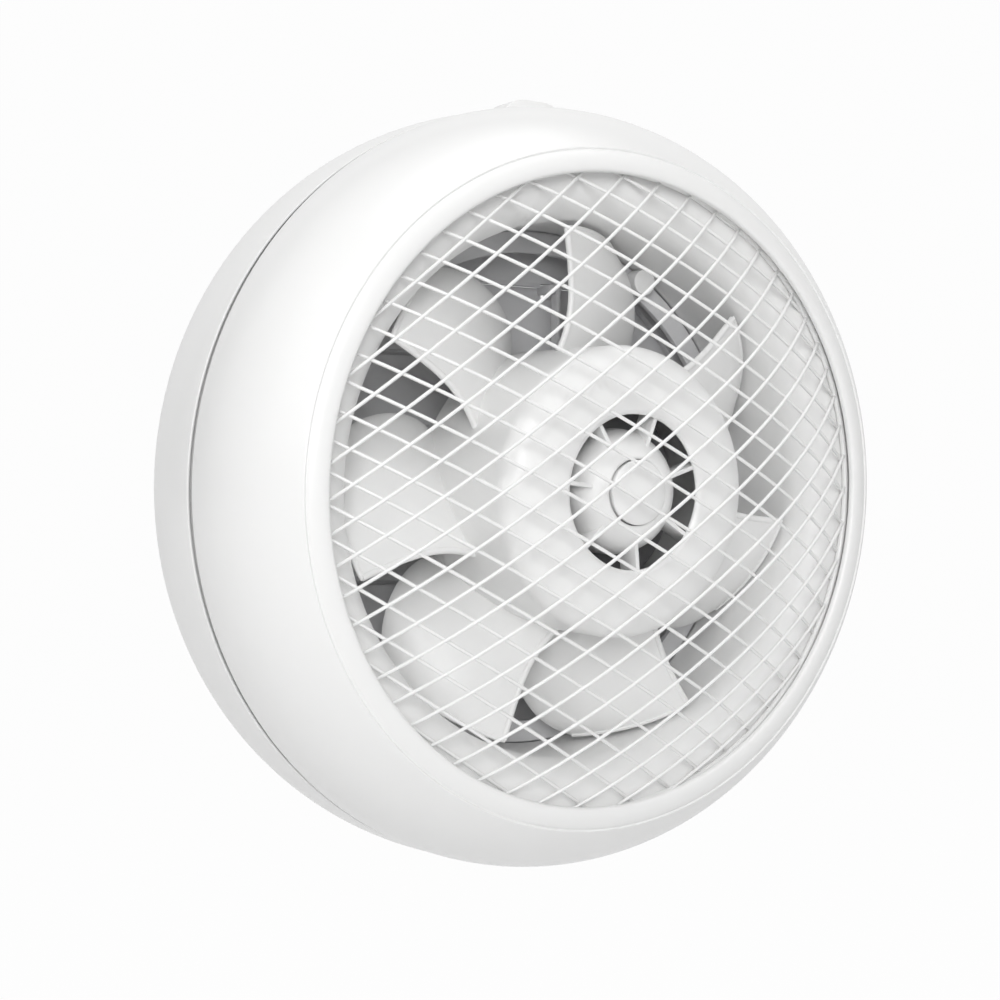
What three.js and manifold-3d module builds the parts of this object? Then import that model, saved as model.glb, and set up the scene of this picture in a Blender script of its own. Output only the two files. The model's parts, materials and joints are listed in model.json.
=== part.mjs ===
// Window exhaust fan that clamps a pane of glass between a room-side and an outdoor shell.
// Millimetres, +Z up. The fan turns about the Y axis, the room side faces -Y, and the
// origin is on the fan's axis in the middle of the pane.
import * as THREE from 'three';
import { mergeVertices } from 'three/addons/utils/BufferGeometryUtils.js';
import Module from 'manifold-3d';

const wasm = await Module();
wasm.setup();

// ---------------------------------------------------------------- driving dimensions

// the pane and what clamps it
const paneThickness = 4.2;
const paneHoleRadius = 128.5;
const gasketThickness = 3.0;
const gasketWidth = 16.0;
const gasketHoleMargin = 2.5;
const shellPaneClearance = 0.15;

// clearances between pieces
const seatGap = 0.3;
const screwClearance = 0.3;
const bladeTipGap = 2.2;

// how far a cutter runs past what it cuts, and a root into what carries it
const overcut = 1.0;
const rootOverlap = 1.0;

// the room-side cover
const shellWall = 2.5;
const shellFlangeMargin = 6.3;
const coverDepth = 49.2;
const shoulderWidth = 22.7;
const shoulderRearPull = 21.8;
const shoulderFrontPull = 11.8;
const shoulderFullness = 13.9;
const grooveWidth = 1.4;
const grooveDepth = 0.5;
const lipSetback = 0.4;
const lipBulge = 2.4;
const lipThickness = 1.4;
const lipMargin = 2.5;
const guardWallThickness = 2.0;
const hookCount = 4;
const hookWidth = 14.0;
const hookThickness = 1.5;

// the wire guard: two families of wires welded where they cross
const wireThickness = 1.3;
const guardRise = 34.0;
const guardDomePower = 2.5;
const guardBow = 0.027;
const guardEdgeMargin = 7.1;
const hoopWidth = 3.0;
const hoopDepth = 2.6;
const guardSetback = 2.4;
const risingWires = {
  direction: 34.9, drift: -2.5, swing: 3.4, pitch: 11.94, growth: 0.037, phase: 9.6,
};
const fallingWires = {
  direction: 153.9, drift: 3.4, swing: -4.25, pitch: 11.85, growth: 0.012, phase: 6.4,
};
const pressPadCount = 6;
const pressPadWidth = 8.0;

// the inner frame: bell mouth, duct and four lugs that bear on the clamping flange
const ductMargin = 19.7;
const bellDepth = 17.7;
const bellInset = 1.5;
const bellFlangeOverlap = 6.0;
const ductWall = 2.2;
const ductRearY = 9.0;
const flangeThickness = 3.0;
const flangeMargin = 1.5;
const fixingLugWidth = 12.0;
const fixingLugReach = 5.5;
const fixingLugThickness = 3.0;

// the outdoor frame and its clamp screws
const collarGap = 1.5;
const collarWall = 2.5;
const collarRearY = 24.0;
const clampScrewCount = 4;
const clampScrewInset = 6.5;
const clampScrewRadius = 2.0;
const clampHeadRadius = 4.0;
const clampHeadHeight = 2.6;
const clampNutHeight = 3.2;
const clampNutRadius = 4.2;
const clampScrewTail = 1.0;
const diagonal = 45.0;

// the crown of a pan head, as a share of its radius
const screwCrownShare = 0.8;

// the impeller
const bladeCount = 7;
const hubRadius = 57.5;
const hubFrontY = -66.8;
const hubRearY = 4.0;
const hubWall = 3.0;
const hubRounding = 11.0;
const hubFlatWidth = 8.0;
const hubBoreRadius = 30.4;
const hubBoreRounding = 1.6;
const bossRadius = 25.0;
const bossWall = 2.5;
const bossRearY = -38.0;
const bossFrontY = -67.0;
const bossCoreRadius = 9.0;
const bossCrownDepth = 17.0;
const spokeThickness = 1.8;
const spokeRootRadius = 18.0;
const spokeTipRadius = 40.0;
const spokeFrontY = -64.2;
const spokeDepth = 11.0;
const bladeThickness = 2.2;
const bladeTipFrontY = -30.4;
const bladeTipDepth = 28.0;
const bladeRootFrontY = -30.4;
const bladeRootDepth = 33.0;
const bladeTipAngle = 30.0;
const bladeRootAngle = 50.0;
const bladeCornerAngle = 7.0;
const bladeRootLead = 9.0;
const bladeLeadDip = 1.5;
const bladeCamber = 3.0;
const firstBladeAngle = 44.5;

// the cap and what it hides
const capRadius = 12.7;
const capCrown = 1.8;
const capRimHeight = 1.2;
const capSkirtDepth = 4.5;
const capSkirtWall = 1.6;
const capSkirtStep = 0.4;
const capShoulderShare = 0.55;
const capShoulderRise = 0.7;
const recessChamfer = 0.4;
const bossLandWidth = 1.0;
const capRecessDepth = 7.0;
const shaftRadius = 4.0;
const washerRadius = 8.0;
const washerThickness = 1.2;
const nutRadius = 6.6;
const nutHeight = 3.6;

// the motor
const motorRadius = 44.0;
const motorWall = 2.5;
const motorFrontY = -34.0;
const motorRearY = 9.0;
const motorSplitY = -12.5;
const motorCornerRadius = 5.0;
const motorInnerChamfer = 3.0;
const motorShaftClearance = 1.5;
const shaftTail = 0.6;
const bearingOuterRadius = 9.5;
const bearingWidth = 5.0;
const bearingSeatWall = 2.2;
const bearingSeatSetback = 1.0;
const rotorRadius = 24.0;
const rotorLength = 22.0;
const rotorAirGap = 0.6;
const windingInnerRadius = 28.0;
const windingOuterRadius = 38.0;
const windingHeight = 5.0;

// the motor spider across the rear of the duct
const spiderRingWidth = 9.0;
const spiderThickness = 3.0;
const spiderArmCount = 3;
const spiderStartAngle = 180;
const spiderArmWidth = 11.0;
const spiderArmRoot = 3.0;
const spiderRibThickness = 2.5;
const spiderRibHeight = 4.0;
const spiderPlateRadius = 38.0;
const spiderPlateHole = 14.0;
const spiderBossRadius = 5.5;
const spiderBossFrontY = 1.0;
const spiderBossFloor = 1.5;
const spiderScrewRadius = 1.5;
const spiderScrewHead = 3.0;
const spiderScrewHeadHeight = 2.0;
const motorScrewCircle = 30.0;
const motorScrewRadius = 2.0;
const motorScrewHead = 3.6;
const motorScrewHeadHeight = 2.2;

// the shutter: flaps that the air pushes open, ganged by a link bar
const flapCount = 6;
const flapPitch = 32.0;
const topHingeZ = 86.0;
const shutterOpeningStep = 4.8;
const shutterEdgeMargin = 4.0;
const shutterFrameThickness = 4.0;
const segmentOverlap = 3.0;
const segmentHingeGap = 1.0;
const segmentSteps = 6;
const flapCover = 3.0;
const flapThickness = 1.6;
const flapFrameGap = 0.4;
const flapGap = 1.2;
const flapTopMargin = 1.2;
const flapPinRadius = 1.5;
const flapRibDepth = 4.5;
const flapRibThickness = 1.6;
const flapRibRise = 2.0;
const flapLipDrop = 2.5;
const flapLipThickness = 1.4;
const flapLipInset = 3.5;
const flapLipRoot = 0.5;
const flapPinRoot = 3.0;
const lastFlapReach = 0.985;
const flapRibInset = 4.0;
const pinRunningGap = 0.4;
const earThickness = 3.0;
const earHalfHeight = 3.2;
const earReach = 4.4;
const earHoleRelief = 8.0;
const flapEndGap = 0.6;
const flapNotchDepth = 6.5;
const crankLength = 9.0;
const crankThickness = 3.0;
const crankHalfHeight = 2.0;
const crankX = 14.0;
const crankSideRoom = 1.0;
const crankPinTail = 1.0;
const linkWidth = 5.0;
const linkThickness = 2.0;
const linkSideGap = 0.5;
const linkEndMargin = 3.2;
const linkNotchMargin = 1.5;
const linkNotchDepth = 3.6;
const shutterScrewInset = 2.0;
const shutterScrewCount = 4;
const shutterScrewRadius = 1.5;
const shutterScrewHead = 3.0;
const shutterScrewHeadHeight = 2.0;
const shutterBossRadius = 3.8;
const shutterBossDepth = 9.0;
const shutterBossFloor = 2.0;

// the outdoor cover and its weather grille
const rearCoverDepth = 63.8;
const rearBulge = 3.0;
const rearRimWidth = 19.3;
const rearLipWidth = 4.0;
const rearLipRise = 1.5;
const ledgeDepth = 3.5;
const ledgeWidth = 13.0;
const lugWidth = 30.0;
const lugLength = 14.0;
const lugFrontY = 12.0;
const lugHeight = 3.9;
const lugCrownShare = 0.3;
const lugShoulderShare = 0.7;
const lugShoulderRise = 0.6;
const rearLipCrownShare = 0.45;
const grilleThickness = 3.0;
const grilleSkirtWall = 2.4;
const grilleSkirtGap = 0.6;
const louvreCount = 9;
const louvreChord = 9.0;
const louvreThickness = 1.8;
const louvreTilt = 35.0;
const grilleRibCount = 2;
const grilleRibWidth = 2.4;
const grilleRibSpread = 0.7;
const coverScrewCount = 4;
const coverScrewRadius = 1.7;
const coverScrewHead = 3.4;
const coverScrewHeadHeight = 2.2;
const coverScrewGrip = 9.0;
const pillarRadius = 4.6;

// the terminal box on the room side of the flange
const terminalBoxWidth = 46.0;
const terminalBoxHeight = 16.0;
const terminalBoxDepth = 17.0;
const terminalBoxWall = 2.0;
const terminalBoxMargin = 9.5;
const terminalLidThickness = 2.0;
const terminalBlockLength = 30.0;
const terminalBlockHeight = 8.0;
const terminalBlockDepth = 9.0;
const terminalBlockShift = 4.0;
const glandRadius = 5.8;
const glandBore = 3.8;
const glandSides = 10;
const glandLength = 9.0;
const glandInnerReach = 1.0;

// facets round a full turn
const shellSides = 32;
const ductSides = 24;
const hubSides = 21;
const bossSides = 14;
const motorSides = 16;
const screwSides = 6;

// ---------------------------------------------------------------- derived places

const halfPane = paneThickness / 2;
const shellFrontEdgeY = -(halfPane + shellPaneClearance);
const shellRearEdgeY = halfPane + shellPaneClearance;
const rimY = shellFrontEdgeY - coverDepth;
const gasketInnerRadius = paneHoleRadius + gasketHoleMargin;
const gasketOuterRadius = gasketInnerRadius + gasketWidth;
const flangeRadius = gasketOuterRadius + flangeMargin;
const flangeRearY = -(halfPane + gasketThickness);
const flangeFrontY = flangeRearY - flangeThickness;
const shellRadius = flangeRadius + shellFlangeMargin + shellWall;
const grooveRadius = shellRadius - shoulderWidth;
const guardHoopRadius = grooveRadius - guardEdgeMargin;
const rimRadius = guardHoopRadius - lipMargin;
const bellOuterRadius = guardHoopRadius - bellInset;
const bellFlangeRadius = guardHoopRadius + bellFlangeOverlap;
const fixingLugRearY = flangeFrontY - seatGap;
const fixingLugFrontY = fixingLugRearY - fixingLugThickness;
const lipBackY = rimY + lipThickness;
const hoopFrontY = lipBackY + guardSetback;
const hoopMidY = hoopFrontY + hoopDepth / 2;
const hoopRearY = hoopFrontY + hoopDepth;
const bellFrontY = hoopRearY + seatGap;
const bellRearY = bellFrontY + bellDepth;
const throatRadius = paneHoleRadius - ductMargin;
const ductOuterRadius = throatRadius + ductWall;
const bladeTipRadius = throatRadius - bladeTipGap;
const outerFlangeFrontY = halfPane + gasketThickness;
const outerFlangeRearY = outerFlangeFrontY + flangeThickness;
const collarInnerRadius = ductOuterRadius + collarGap;
const collarOuterRadius = collarInnerRadius + collarWall;
const clampScrewCircle = collarOuterRadius + clampScrewInset;
const shutterOpeningRadius = throatRadius - shutterOpeningStep;
const shutterScrewCircle = collarOuterRadius + shutterScrewInset;
const shutterFrameRadius = shutterScrewCircle + shutterEdgeMargin;
const shutterFrontY = collarRearY + seatGap;
const shutterRearY = shutterFrontY + shutterFrameThickness;
const flapFrontY = shutterRearY + flapFrameGap;
const flapRadius = shutterOpeningRadius + flapCover;
const hingeY = flapFrontY + flapThickness / 2;
const rearRimY = shellRearEdgeY + rearCoverDepth;
const rearBulgeRadius = shellRadius + rearBulge;
const rearRimRadius = shellRadius - rearRimWidth;
const rearOpeningRadius = rearRimRadius - rearLipWidth;
const ledgeInnerRadius = rearOpeningRadius - ledgeWidth;
const coverScrewCircle = (ledgeInnerRadius + rearOpeningRadius) / 2;
const ledgeRearY = rearRimY - ledgeDepth;
const ledgeFrontY = ledgeRearY - shellWall;
const pillarRearY = ledgeFrontY - seatGap;
const grilleFrontY = ledgeRearY + seatGap;
const grilleRearY = grilleFrontY + grilleThickness;
const grilleSkirtFrontY = ledgeFrontY + seatGap;
const grilleOuterRadius = rearOpeningRadius - seatGap;
const linkX = crankX + crankThickness + linkSideGap;
const linkY = hingeY - crankLength;
const terminalBoxRearY = flangeFrontY - seatGap;
const terminalBoxRadius = flangeRadius - terminalBoxMargin - terminalBoxHeight / 2;
const spiderFrontY = ductRearY + seatGap;
const spiderRearY = spiderFrontY + spiderThickness;
const spiderRingOuter = throatRadius - seatGap;
const spiderRingInner = spiderRingOuter - spiderRingWidth;
const spiderScrewCircle = (spiderRingInner + spiderRingOuter) / 2;
const motorScrewAngle = spiderStartAngle + 180 / spiderArmCount;
const degrees = Math.PI / 180;

// ---------------------------------------------------------------- shape helpers

/** A manifold solid from a closed three.js geometry; slivers at an axis are dropped. */
function solidOf(geometry) {
  const bare = geometry.clone();
  bare.deleteAttribute('normal');
  bare.deleteAttribute('uv');
  const merged = mergeVertices(bare, 1e-4);
  const corners = merged.index.array;
  const triangles = [];
  for (let i = 0; i < corners.length; i += 3) {
    const [a, b, c] = [corners[i], corners[i + 1], corners[i + 2]];
    if (a !== b && b !== c && c !== a) triangles.push(a, b, c);
  }
  return new wasm.Manifold(new wasm.Mesh({
    numProp: 3,
    vertProperties: Float32Array.from(merged.attributes.position.array),
    triVerts: Uint32Array.from(triangles),
  }));
}

/** A three.js geometry from a manifold solid. */
function geometryOf(solid) {
  const mesh = solid.getMesh();
  const geometry = new THREE.BufferGeometry();
  geometry.setAttribute('position', new THREE.BufferAttribute(mesh.vertProperties, 3));
  geometry.setIndex(new THREE.BufferAttribute(mesh.triVerts, 1));
  geometry.computeVertexNormals();
  return geometry;
}

/** The union of several solids. */
function join(first, ...others) {
  return others.reduce((sum, solid) => sum.add(solid), first);
}

/** The first solid less all the others. */
function cut(first, ...others) {
  return others.reduce((rest, solid) => rest.subtract(solid), first);
}

/** Twice the signed area of an outline, positive when it runs anticlockwise. */
function signedArea(outline) {
  return outline.reduce((sum, p, i) => {
    const q = outline[(i + 1) % outline.length];
    return sum + p.x * q.y - q.x * p.y;
  }, 0);
}

/** A body turned about the Y axis from an outline of [radius, y] points. */
function turned(points, sides) {
  const outline = points.map(([radius, y]) => new THREE.Vector2(radius, y));
  if (signedArea(outline) < 0) outline.reverse();
  const onAxis = outline.findIndex((p, i) => {
    const next = outline[(i + 1) % outline.length];
    return p.x === 0 && next.x === 0;
  });
  const start = onAxis < 0 ? 0 : onAxis + 1;
  const ordered = [...outline.slice(start), ...outline.slice(0, start)];
  if (onAxis < 0) ordered.push(ordered[0].clone());
  return solidOf(new THREE.LatheGeometry(ordered, sides));
}

/** A plain ring or disc about the Y axis. */
function ring(innerRadius, outerRadius, frontY, rearY, sides) {
  return turned([
    [innerRadius, frontY], [outerRadius, frontY],
    [outerRadius, rearY], [innerRadius, rearY],
  ], sides);
}

/** A plate whose outline lies in X and Z, between two places along Y. */
function plate(points, frontY, rearY) {
  const shape = new THREE.Shape(points.map(([x, z]) => new THREE.Vector2(x, z)));
  const geometry = new THREE.ExtrudeGeometry(shape, { depth: rearY - frontY, bevelEnabled: false });
  geometry.rotateX(Math.PI / 2);
  geometry.translate(0, rearY, 0);
  return solidOf(geometry);
}

/** A box from its lowest to its highest corner. */
function box(low, high) {
  const size = high.map((value, axis) => value - low[axis]);
  const geometry = new THREE.BoxGeometry(...size);
  geometry.translate(...low.map((value, axis) => value + size[axis] / 2));
  return solidOf(geometry);
}

/** A round bar along Y at a place in X and Z. */
function barY(radius, frontY, rearY, x = 0, z = 0, sides = screwSides) {
  const geometry = new THREE.CylinderGeometry(radius, radius, rearY - frontY, sides);
  geometry.translate(x, (frontY + rearY) / 2, z);
  return solidOf(geometry);
}

/** A round bar along X. */
function barX(radius, leftX, rightX, y, z, sides = screwSides) {
  const geometry = new THREE.CylinderGeometry(radius, radius, rightX - leftX, sides);
  geometry.rotateZ(Math.PI / 2);
  geometry.translate((leftX + rightX) / 2, y, z);
  return solidOf(geometry);
}

/** A solid turned about the fan's axis, anticlockwise as the room sees it. */
function spun(solid, angle) {
  return solid.rotate([0, -angle, 0]);
}

/** Copies of a solid spread evenly round the fan's axis. */
function around(solid, count, startAngle = 0) {
  return Array.from({ length: count }, (_, i) => spun(solid, startAngle + (360 * i) / count));
}

/** Points along a cubic curve between two [radius, y] points. */
function curve(from, pullFrom, pullTo, to, steps) {
  const bend = new THREE.CubicBezierCurve(
    new THREE.Vector2(...from), new THREE.Vector2(...pullFrom),
    new THREE.Vector2(...pullTo), new THREE.Vector2(...to),
  );
  return bend.getPoints(steps).map((p) => [p.x, p.y]);
}

// ---------------------------------------------------------------- the scene graph

const fan = new THREE.Group();
fan.name = 'window_exhaust_fan';

const finishes = {
  whiteShell: { color: 0xf1f1f0, roughness: 0.32, metalness: 0 },
  whiteWire: { color: 0xf4f4f3, roughness: 0.4, metalness: 0 },
  whiteFrame: { color: 0xe6e6e5, roughness: 0.45, metalness: 0 },
  whiteBlade: { color: 0xeeeeed, roughness: 0.38, metalness: 0 },
  greyFlap: { color: 0xa9aaab, roughness: 0.5, metalness: 0 },
  darkMotor: { color: 0x3a3b3d, roughness: 0.5, metalness: 0.6 },
  steel: { color: 0xb4b6b8, roughness: 0.35, metalness: 1 },
  laminations: { color: 0x6f7174, roughness: 0.6, metalness: 0.8 },
  copper: { color: 0xb06a3a, roughness: 0.45, metalness: 0.9 },
  gasketRubber: { color: 0x8d8f90, roughness: 0.85, metalness: 0 },
};

/** Adds a solid to the fan as a named mesh. */
function addPiece(name, solid, finish) {
  const material = new THREE.MeshStandardMaterial({ ...finishes[finish], flatShading: true });
  const mesh = new THREE.Mesh(geometryOf(solid), material);
  mesh.name = name;
  fan.add(mesh);
}

/** Adds like solids as meshes numbered from one. */
function addPieces(name, solids, finish) {
  solids.forEach((solid, i) => addPiece(`${name}_${i + 1}`, solid, finish));
}

// ---------------------------------------------------------------- room-side cover

/** The shoulder of the cover from its rear edge to the groove, moved inwards by a wall. */
function coverShoulder(wall, steps) {
  const frontY = rimY - lipSetback + wall;
  return curve(
    [shellRadius - wall, shellFrontEdgeY],
    [shellRadius - wall, shellFrontEdgeY - shoulderRearPull],
    [grooveRadius + shoulderFullness - wall, frontY + shoulderFrontPull],
    [grooveRadius - wall / 2, frontY],
    steps,
  );
}

function roomCover() {
  const lipWidth = grooveRadius - grooveWidth - rimRadius;
  const lipPoint = (across, rise) => [rimRadius + lipWidth * across, rimY - lipBulge * rise];
  const seatRadius = guardHoopRadius + hoopWidth / 2 + seatGap;
  const seatRearY = bellFrontY - seatGap;
  const shell = turned([
    ...coverShoulder(0, 5),
    [grooveRadius - grooveWidth / 2, rimY - lipSetback + grooveDepth],
    lipPoint(1, 0.3), lipPoint(0.65, 0.8), lipPoint(0.35, 1), lipPoint(0.1, 0.7),
    [rimRadius, rimY],
    [rimRadius + lipThickness, lipBackY],
    [seatRadius, lipBackY],
    [seatRadius, seatRearY],
    [seatRadius + guardWallThickness, seatRearY],
    ...coverShoulder(shellWall, 3).reverse(),
  ], shellSides);
  // hooks that catch the frame's flange from behind
  const hookFrontY = flangeRearY + seatGap;
  const hook = box(
    [gasketOuterRadius + seatGap, hookFrontY, -hookWidth / 2],
    [shellRadius - shellWall / 2, hookFrontY + hookThickness, hookWidth / 2],
  );
  // pads that press the guard's hoop on its seat
  const pad = box(
    [guardHoopRadius + hoopWidth / 6, lipBackY - lipThickness / 3, -pressPadWidth / 2],
    [seatRadius + guardWallThickness / 3, hoopFrontY - seatGap, pressPadWidth / 2],
  );
  return join(shell, ...around(hook, hookCount, diagonal), ...around(pad, pressPadCount));
}

addPiece('front_cover', roomCover(), 'whiteShell');

// ---------------------------------------------------------------- wire guard

/** Place along Y of the guard's dome at a distance from the axis. */
function guardY(radius) {
  return hoopMidY - guardRise * (1 - (radius / guardHoopRadius) ** guardDomePower);
}

/** The straight plan line of one wire: a point on it and its direction. */
function wireLine(family, index) {
  const offset = family.phase + family.pitch * index + family.growth * index ** 2;
  const share = offset / rimRadius;
  const angle = (family.direction + family.drift * share + family.swing * share ** 2) * degrees;
  const square = (family.direction - 90) * degrees;
  return {
    point: new THREE.Vector2(Math.cos(square), Math.sin(square)).multiplyScalar(offset),
    along: new THREE.Vector2(Math.cos(angle), Math.sin(angle)),
  };
}

/** Where two wires cross in plan. */
function crossing(a, b) {
  const gap = b.point.clone().sub(a.point);
  const distance = gap.cross(b.along) / a.along.cross(b.along);
  return a.point.clone().addScaledVector(a.along, distance);
}

/** Where a wire that runs on from a point meets the circle of the hoop. */
function hoopPoint(from, along) {
  const b = from.dot(along);
  const c = from.lengthSq() - guardHoopRadius ** 2;
  return from.clone().addScaledVector(along, -b + Math.sqrt(b * b - c));
}

/** The welded net: three-sided wires that share their corners at each crossing. */
function weldedNet() {
  const overreach = 1.1;
  const sameWay = 0.99;
  const closest = Math.min(risingWires.pitch, fallingWires.pitch);
  const reach = Math.ceil((guardHoopRadius * overreach) / closest);
  const half = wireThickness / 2;
  const lastCrossing = guardHoopRadius - hoopWidth * 0.3;
  const weldedCrossing = guardHoopRadius - hoopWidth * 0.7;
  const corners = [];
  const faces = [];
  const joints = new Map();

  const addCorner = (plan, lift) => {
    const bow = 1 + guardBow * (1 - (plan.length() / guardHoopRadius) ** 2);
    const [x, z] = [plan.x * bow, plan.y * bow];
    corners.push(x, guardY(Math.hypot(x, z)) + lift, z);
    return corners.length / 3 - 1;
  };
  const addQuad = (a, b, c, d) => faces.push(a, b, c, a, c, d);

  for (let i = -reach; i <= reach; i += 1) {
    for (let j = -reach; j <= reach; j += 1) {
      const [rising, falling] = [wireLine(risingWires, i), wireLine(fallingWires, j)];
      const plan = crossing(rising, falling);
      if (plan.length() > lastCrossing) continue;
      // the four ways out of a crossing, anticlockwise in plan, and a corner after each
      const ways = [
        rising.along, falling.along, rising.along.clone().negate(), falling.along.clone().negate(),
      ];
      const sine = Math.abs(rising.along.cross(falling.along));
      const sides = ways.map((way, k) => {
        const next = ways[(k + 1) % 4];
        return addCorner(plan.clone().addScaledVector(way.clone().add(next), half / sine), half / 2);
      });
      addQuad(...sides.slice().reverse());
      joints.set(`${i},${j}`, { plan, ways, sides, front: addCorner(plan, -half) });
    }
  }
  // each way leads to the next crossing, to the hoop, or is closed where it lies in the hoop
  const neighbours = [[0, 1], [1, 0], [0, -1], [-1, 0]];
  joints.forEach((joint, key) => {
    const [i, j] = key.split(',').map(Number);
    joint.ways.forEach((way, k) => {
      const left = joint.sides[k];
      const right = joint.sides[(k + 3) % 4];
      const steps = neighbours.map(([di, dj]) => joints.get(`${i + di},${j + dj}`));
      const next = steps.find((other) => other
        && other.plan.clone().sub(joint.plan).normalize().dot(way) > sameWay);
      let end;
      if (next) {
        const back = (k + 2) % 4;
        end = [next.sides[(back + 3) % 4], next.sides[back], next.front];
        if (k >= 2) return;
      } else if (joint.plan.length() > weldedCrossing) {
        faces.push(joint.front, right, left);
        return;
      } else {
        const tip = hoopPoint(joint.plan, way);
        const across = new THREE.Vector2(-way.y, way.x).multiplyScalar(half);
        end = [
          addCorner(tip.clone().add(across), half / 2),
          addCorner(tip.clone().sub(across), half / 2),
          addCorner(tip, -half),
        ];
        faces.push(end[2], end[1], end[0]);
      }
      const [endLeft, endRight, endFront] = end;
      addQuad(joint.front, endFront, endLeft, left);
      addQuad(left, endLeft, endRight, right);
      addQuad(right, endRight, endFront, joint.front);
    });
  });
  const geometry = new THREE.BufferGeometry();
  geometry.setAttribute('position', new THREE.Float32BufferAttribute(corners, 3));
  geometry.setIndex(faces);
  return geometry;
}

function wireGuard() {
  const hoop = ring(
    guardHoopRadius - hoopWidth / 2, guardHoopRadius + hoopWidth / 2,
    hoopFrontY, hoopRearY, shellSides,
  );
  return join(solidOf(weldedNet()), hoop);
}

addPiece('guard_grille', wireGuard(), 'whiteWire');

// ---------------------------------------------------------------- inner frame

/** The flare from the rim into the duct, a quarter of an ellipse, moved out by a wall. */
function bellFlare(wall, steps) {
  return Array.from({ length: steps + 1 }, (_, i) => {
    const turn = (i / steps) * 90 * degrees;
    const radial = bellOuterRadius - throatRadius - wall;
    const axial = bellDepth - wall;
    return [bellOuterRadius - radial * Math.sin(turn), bellRearY - axial * Math.cos(turn)];
  });
}

/** Screw shanks through the clamping flanges, for the screws themselves and their holes. */
function clampShanks(radius, frontY, rearY) {
  return around(barY(radius, frontY, rearY, clampScrewCircle), clampScrewCount, diagonal);
}

/** Shanks that fix the spider to the bosses in the duct. */
function spiderShanks(radius, frontY, rearY) {
  return around(barY(radius, frontY, rearY, spiderScrewCircle), spiderArmCount, spiderStartAngle);
}

function innerFrame() {
  const shell = turned([
    [bellFlangeRadius, bellFrontY],
    ...bellFlare(0, 4),
    [throatRadius, ductRearY],
    [ductOuterRadius, ductRearY],
    ...bellFlare(ductWall, 2).reverse(),
    [bellFlangeRadius, bellFrontY + ductWall],
  ], ductSides);
  const fixingLug = box(
    [throatRadius + ductWall / 2, fixingLugFrontY, -fixingLugWidth / 2],
    [clampScrewCircle + fixingLugReach, fixingLugRearY, fixingLugWidth / 2],
  );
  const bosses = around(
    barY(spiderBossRadius, spiderBossFrontY, ductRearY, spiderScrewCircle),
    spiderArmCount, spiderStartAngle,
  );
  const body = join(shell, ...around(fixingLug, clampScrewCount, diagonal), ...bosses);
  const clampHoles = clampShanks(
    clampScrewRadius + screwClearance, fixingLugFrontY - overcut, fixingLugRearY + overcut,
  );
  const bossHoles = spiderShanks(
    spiderScrewRadius + screwClearance, spiderBossFrontY + spiderBossFloor, ductRearY + overcut,
  );
  return cut(body, ...clampHoles, ...bossHoles);
}

addPiece('inner_frame', innerFrame(), 'whiteFrame');

// the flat ring that the frame's lugs press on the gasket
addPiece('inner_flange', cut(
  ring(ductOuterRadius + seatGap, flangeRadius, flangeFrontY, flangeRearY, ductSides),
  ...clampShanks(clampScrewRadius + screwClearance, flangeFrontY - overcut, flangeRearY + overcut),
), 'whiteFrame');

// ---------------------------------------------------------------- gaskets and outdoor frame

addPiece('inner_gasket', ring(
  gasketInnerRadius, gasketOuterRadius, flangeRearY, -halfPane, ductSides,
), 'gasketRubber');

addPiece('outer_gasket', ring(
  gasketInnerRadius, gasketOuterRadius, halfPane, outerFlangeFrontY, ductSides,
), 'gasketRubber');

/** Shanks that fix the outdoor cover to the pillars of the outdoor frame. */
function coverShanks(radius, frontY, rearY) {
  return around(barY(radius, frontY, rearY, coverScrewCircle), coverScrewCount, 0);
}

/** Shanks that fix the shutter frame to the collar. */
function shutterShanks(radius, frontY, rearY) {
  return around(barY(radius, frontY, rearY, shutterScrewCircle), shutterScrewCount, diagonal);
}

function outerFrame() {
  const shell = turned([
    [collarInnerRadius, outerFlangeFrontY],
    [flangeRadius, outerFlangeFrontY],
    [flangeRadius, outerFlangeRearY],
    [collarOuterRadius, outerFlangeRearY],
    [collarOuterRadius, collarRearY],
    [collarInnerRadius, collarRearY],
  ], ductSides);
  const pillars = around(
    barY(pillarRadius, outerFlangeRearY - rootOverlap, pillarRearY, coverScrewCircle),
    coverScrewCount, 0,
  );
  const clampHoles = clampShanks(
    clampScrewRadius + screwClearance, outerFlangeFrontY - overcut, outerFlangeRearY + overcut,
  );
  const shutterBosses = around(
    barY(shutterBossRadius, collarRearY - shutterBossDepth, collarRearY, shutterScrewCircle),
    shutterScrewCount, diagonal,
  );
  const shutterHoles = shutterShanks(
    shutterScrewRadius + screwClearance,
    collarRearY - shutterBossDepth + shutterBossFloor, collarRearY + overcut,
  );
  const pillarHoles = coverShanks(
    coverScrewRadius + screwClearance, pillarRearY - coverScrewGrip, pillarRearY + overcut,
  );
  const body = join(shell, ...pillars, ...shutterBosses);
  return cut(body, ...clampHoles, ...shutterHoles, ...pillarHoles);
}

addPiece('outer_frame', outerFrame(), 'whiteFrame');

/** A pan-head screw along Y, its head on the far side of the seat from the tip. */
function screw(shankRadius, headRadius, headHeight, headSeatY, tipY) {
  const outward = Math.sign(headSeatY - tipY);
  return turned([
    [0, tipY], [shankRadius, tipY], [shankRadius, headSeatY],
    [headRadius, headSeatY], [headRadius * screwCrownShare, headSeatY + outward * headHeight],
    [0, headSeatY + outward * headHeight],
  ], screwSides);
}

const clampScrew = screw(
  clampScrewRadius, clampHeadRadius, clampHeadHeight,
  fixingLugFrontY - seatGap, outerFlangeRearY + seatGap + clampNutHeight + clampScrewTail,
).translate([clampScrewCircle, 0, 0]);
addPieces('clamp_screw', around(clampScrew, clampScrewCount, diagonal), 'steel');

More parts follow.
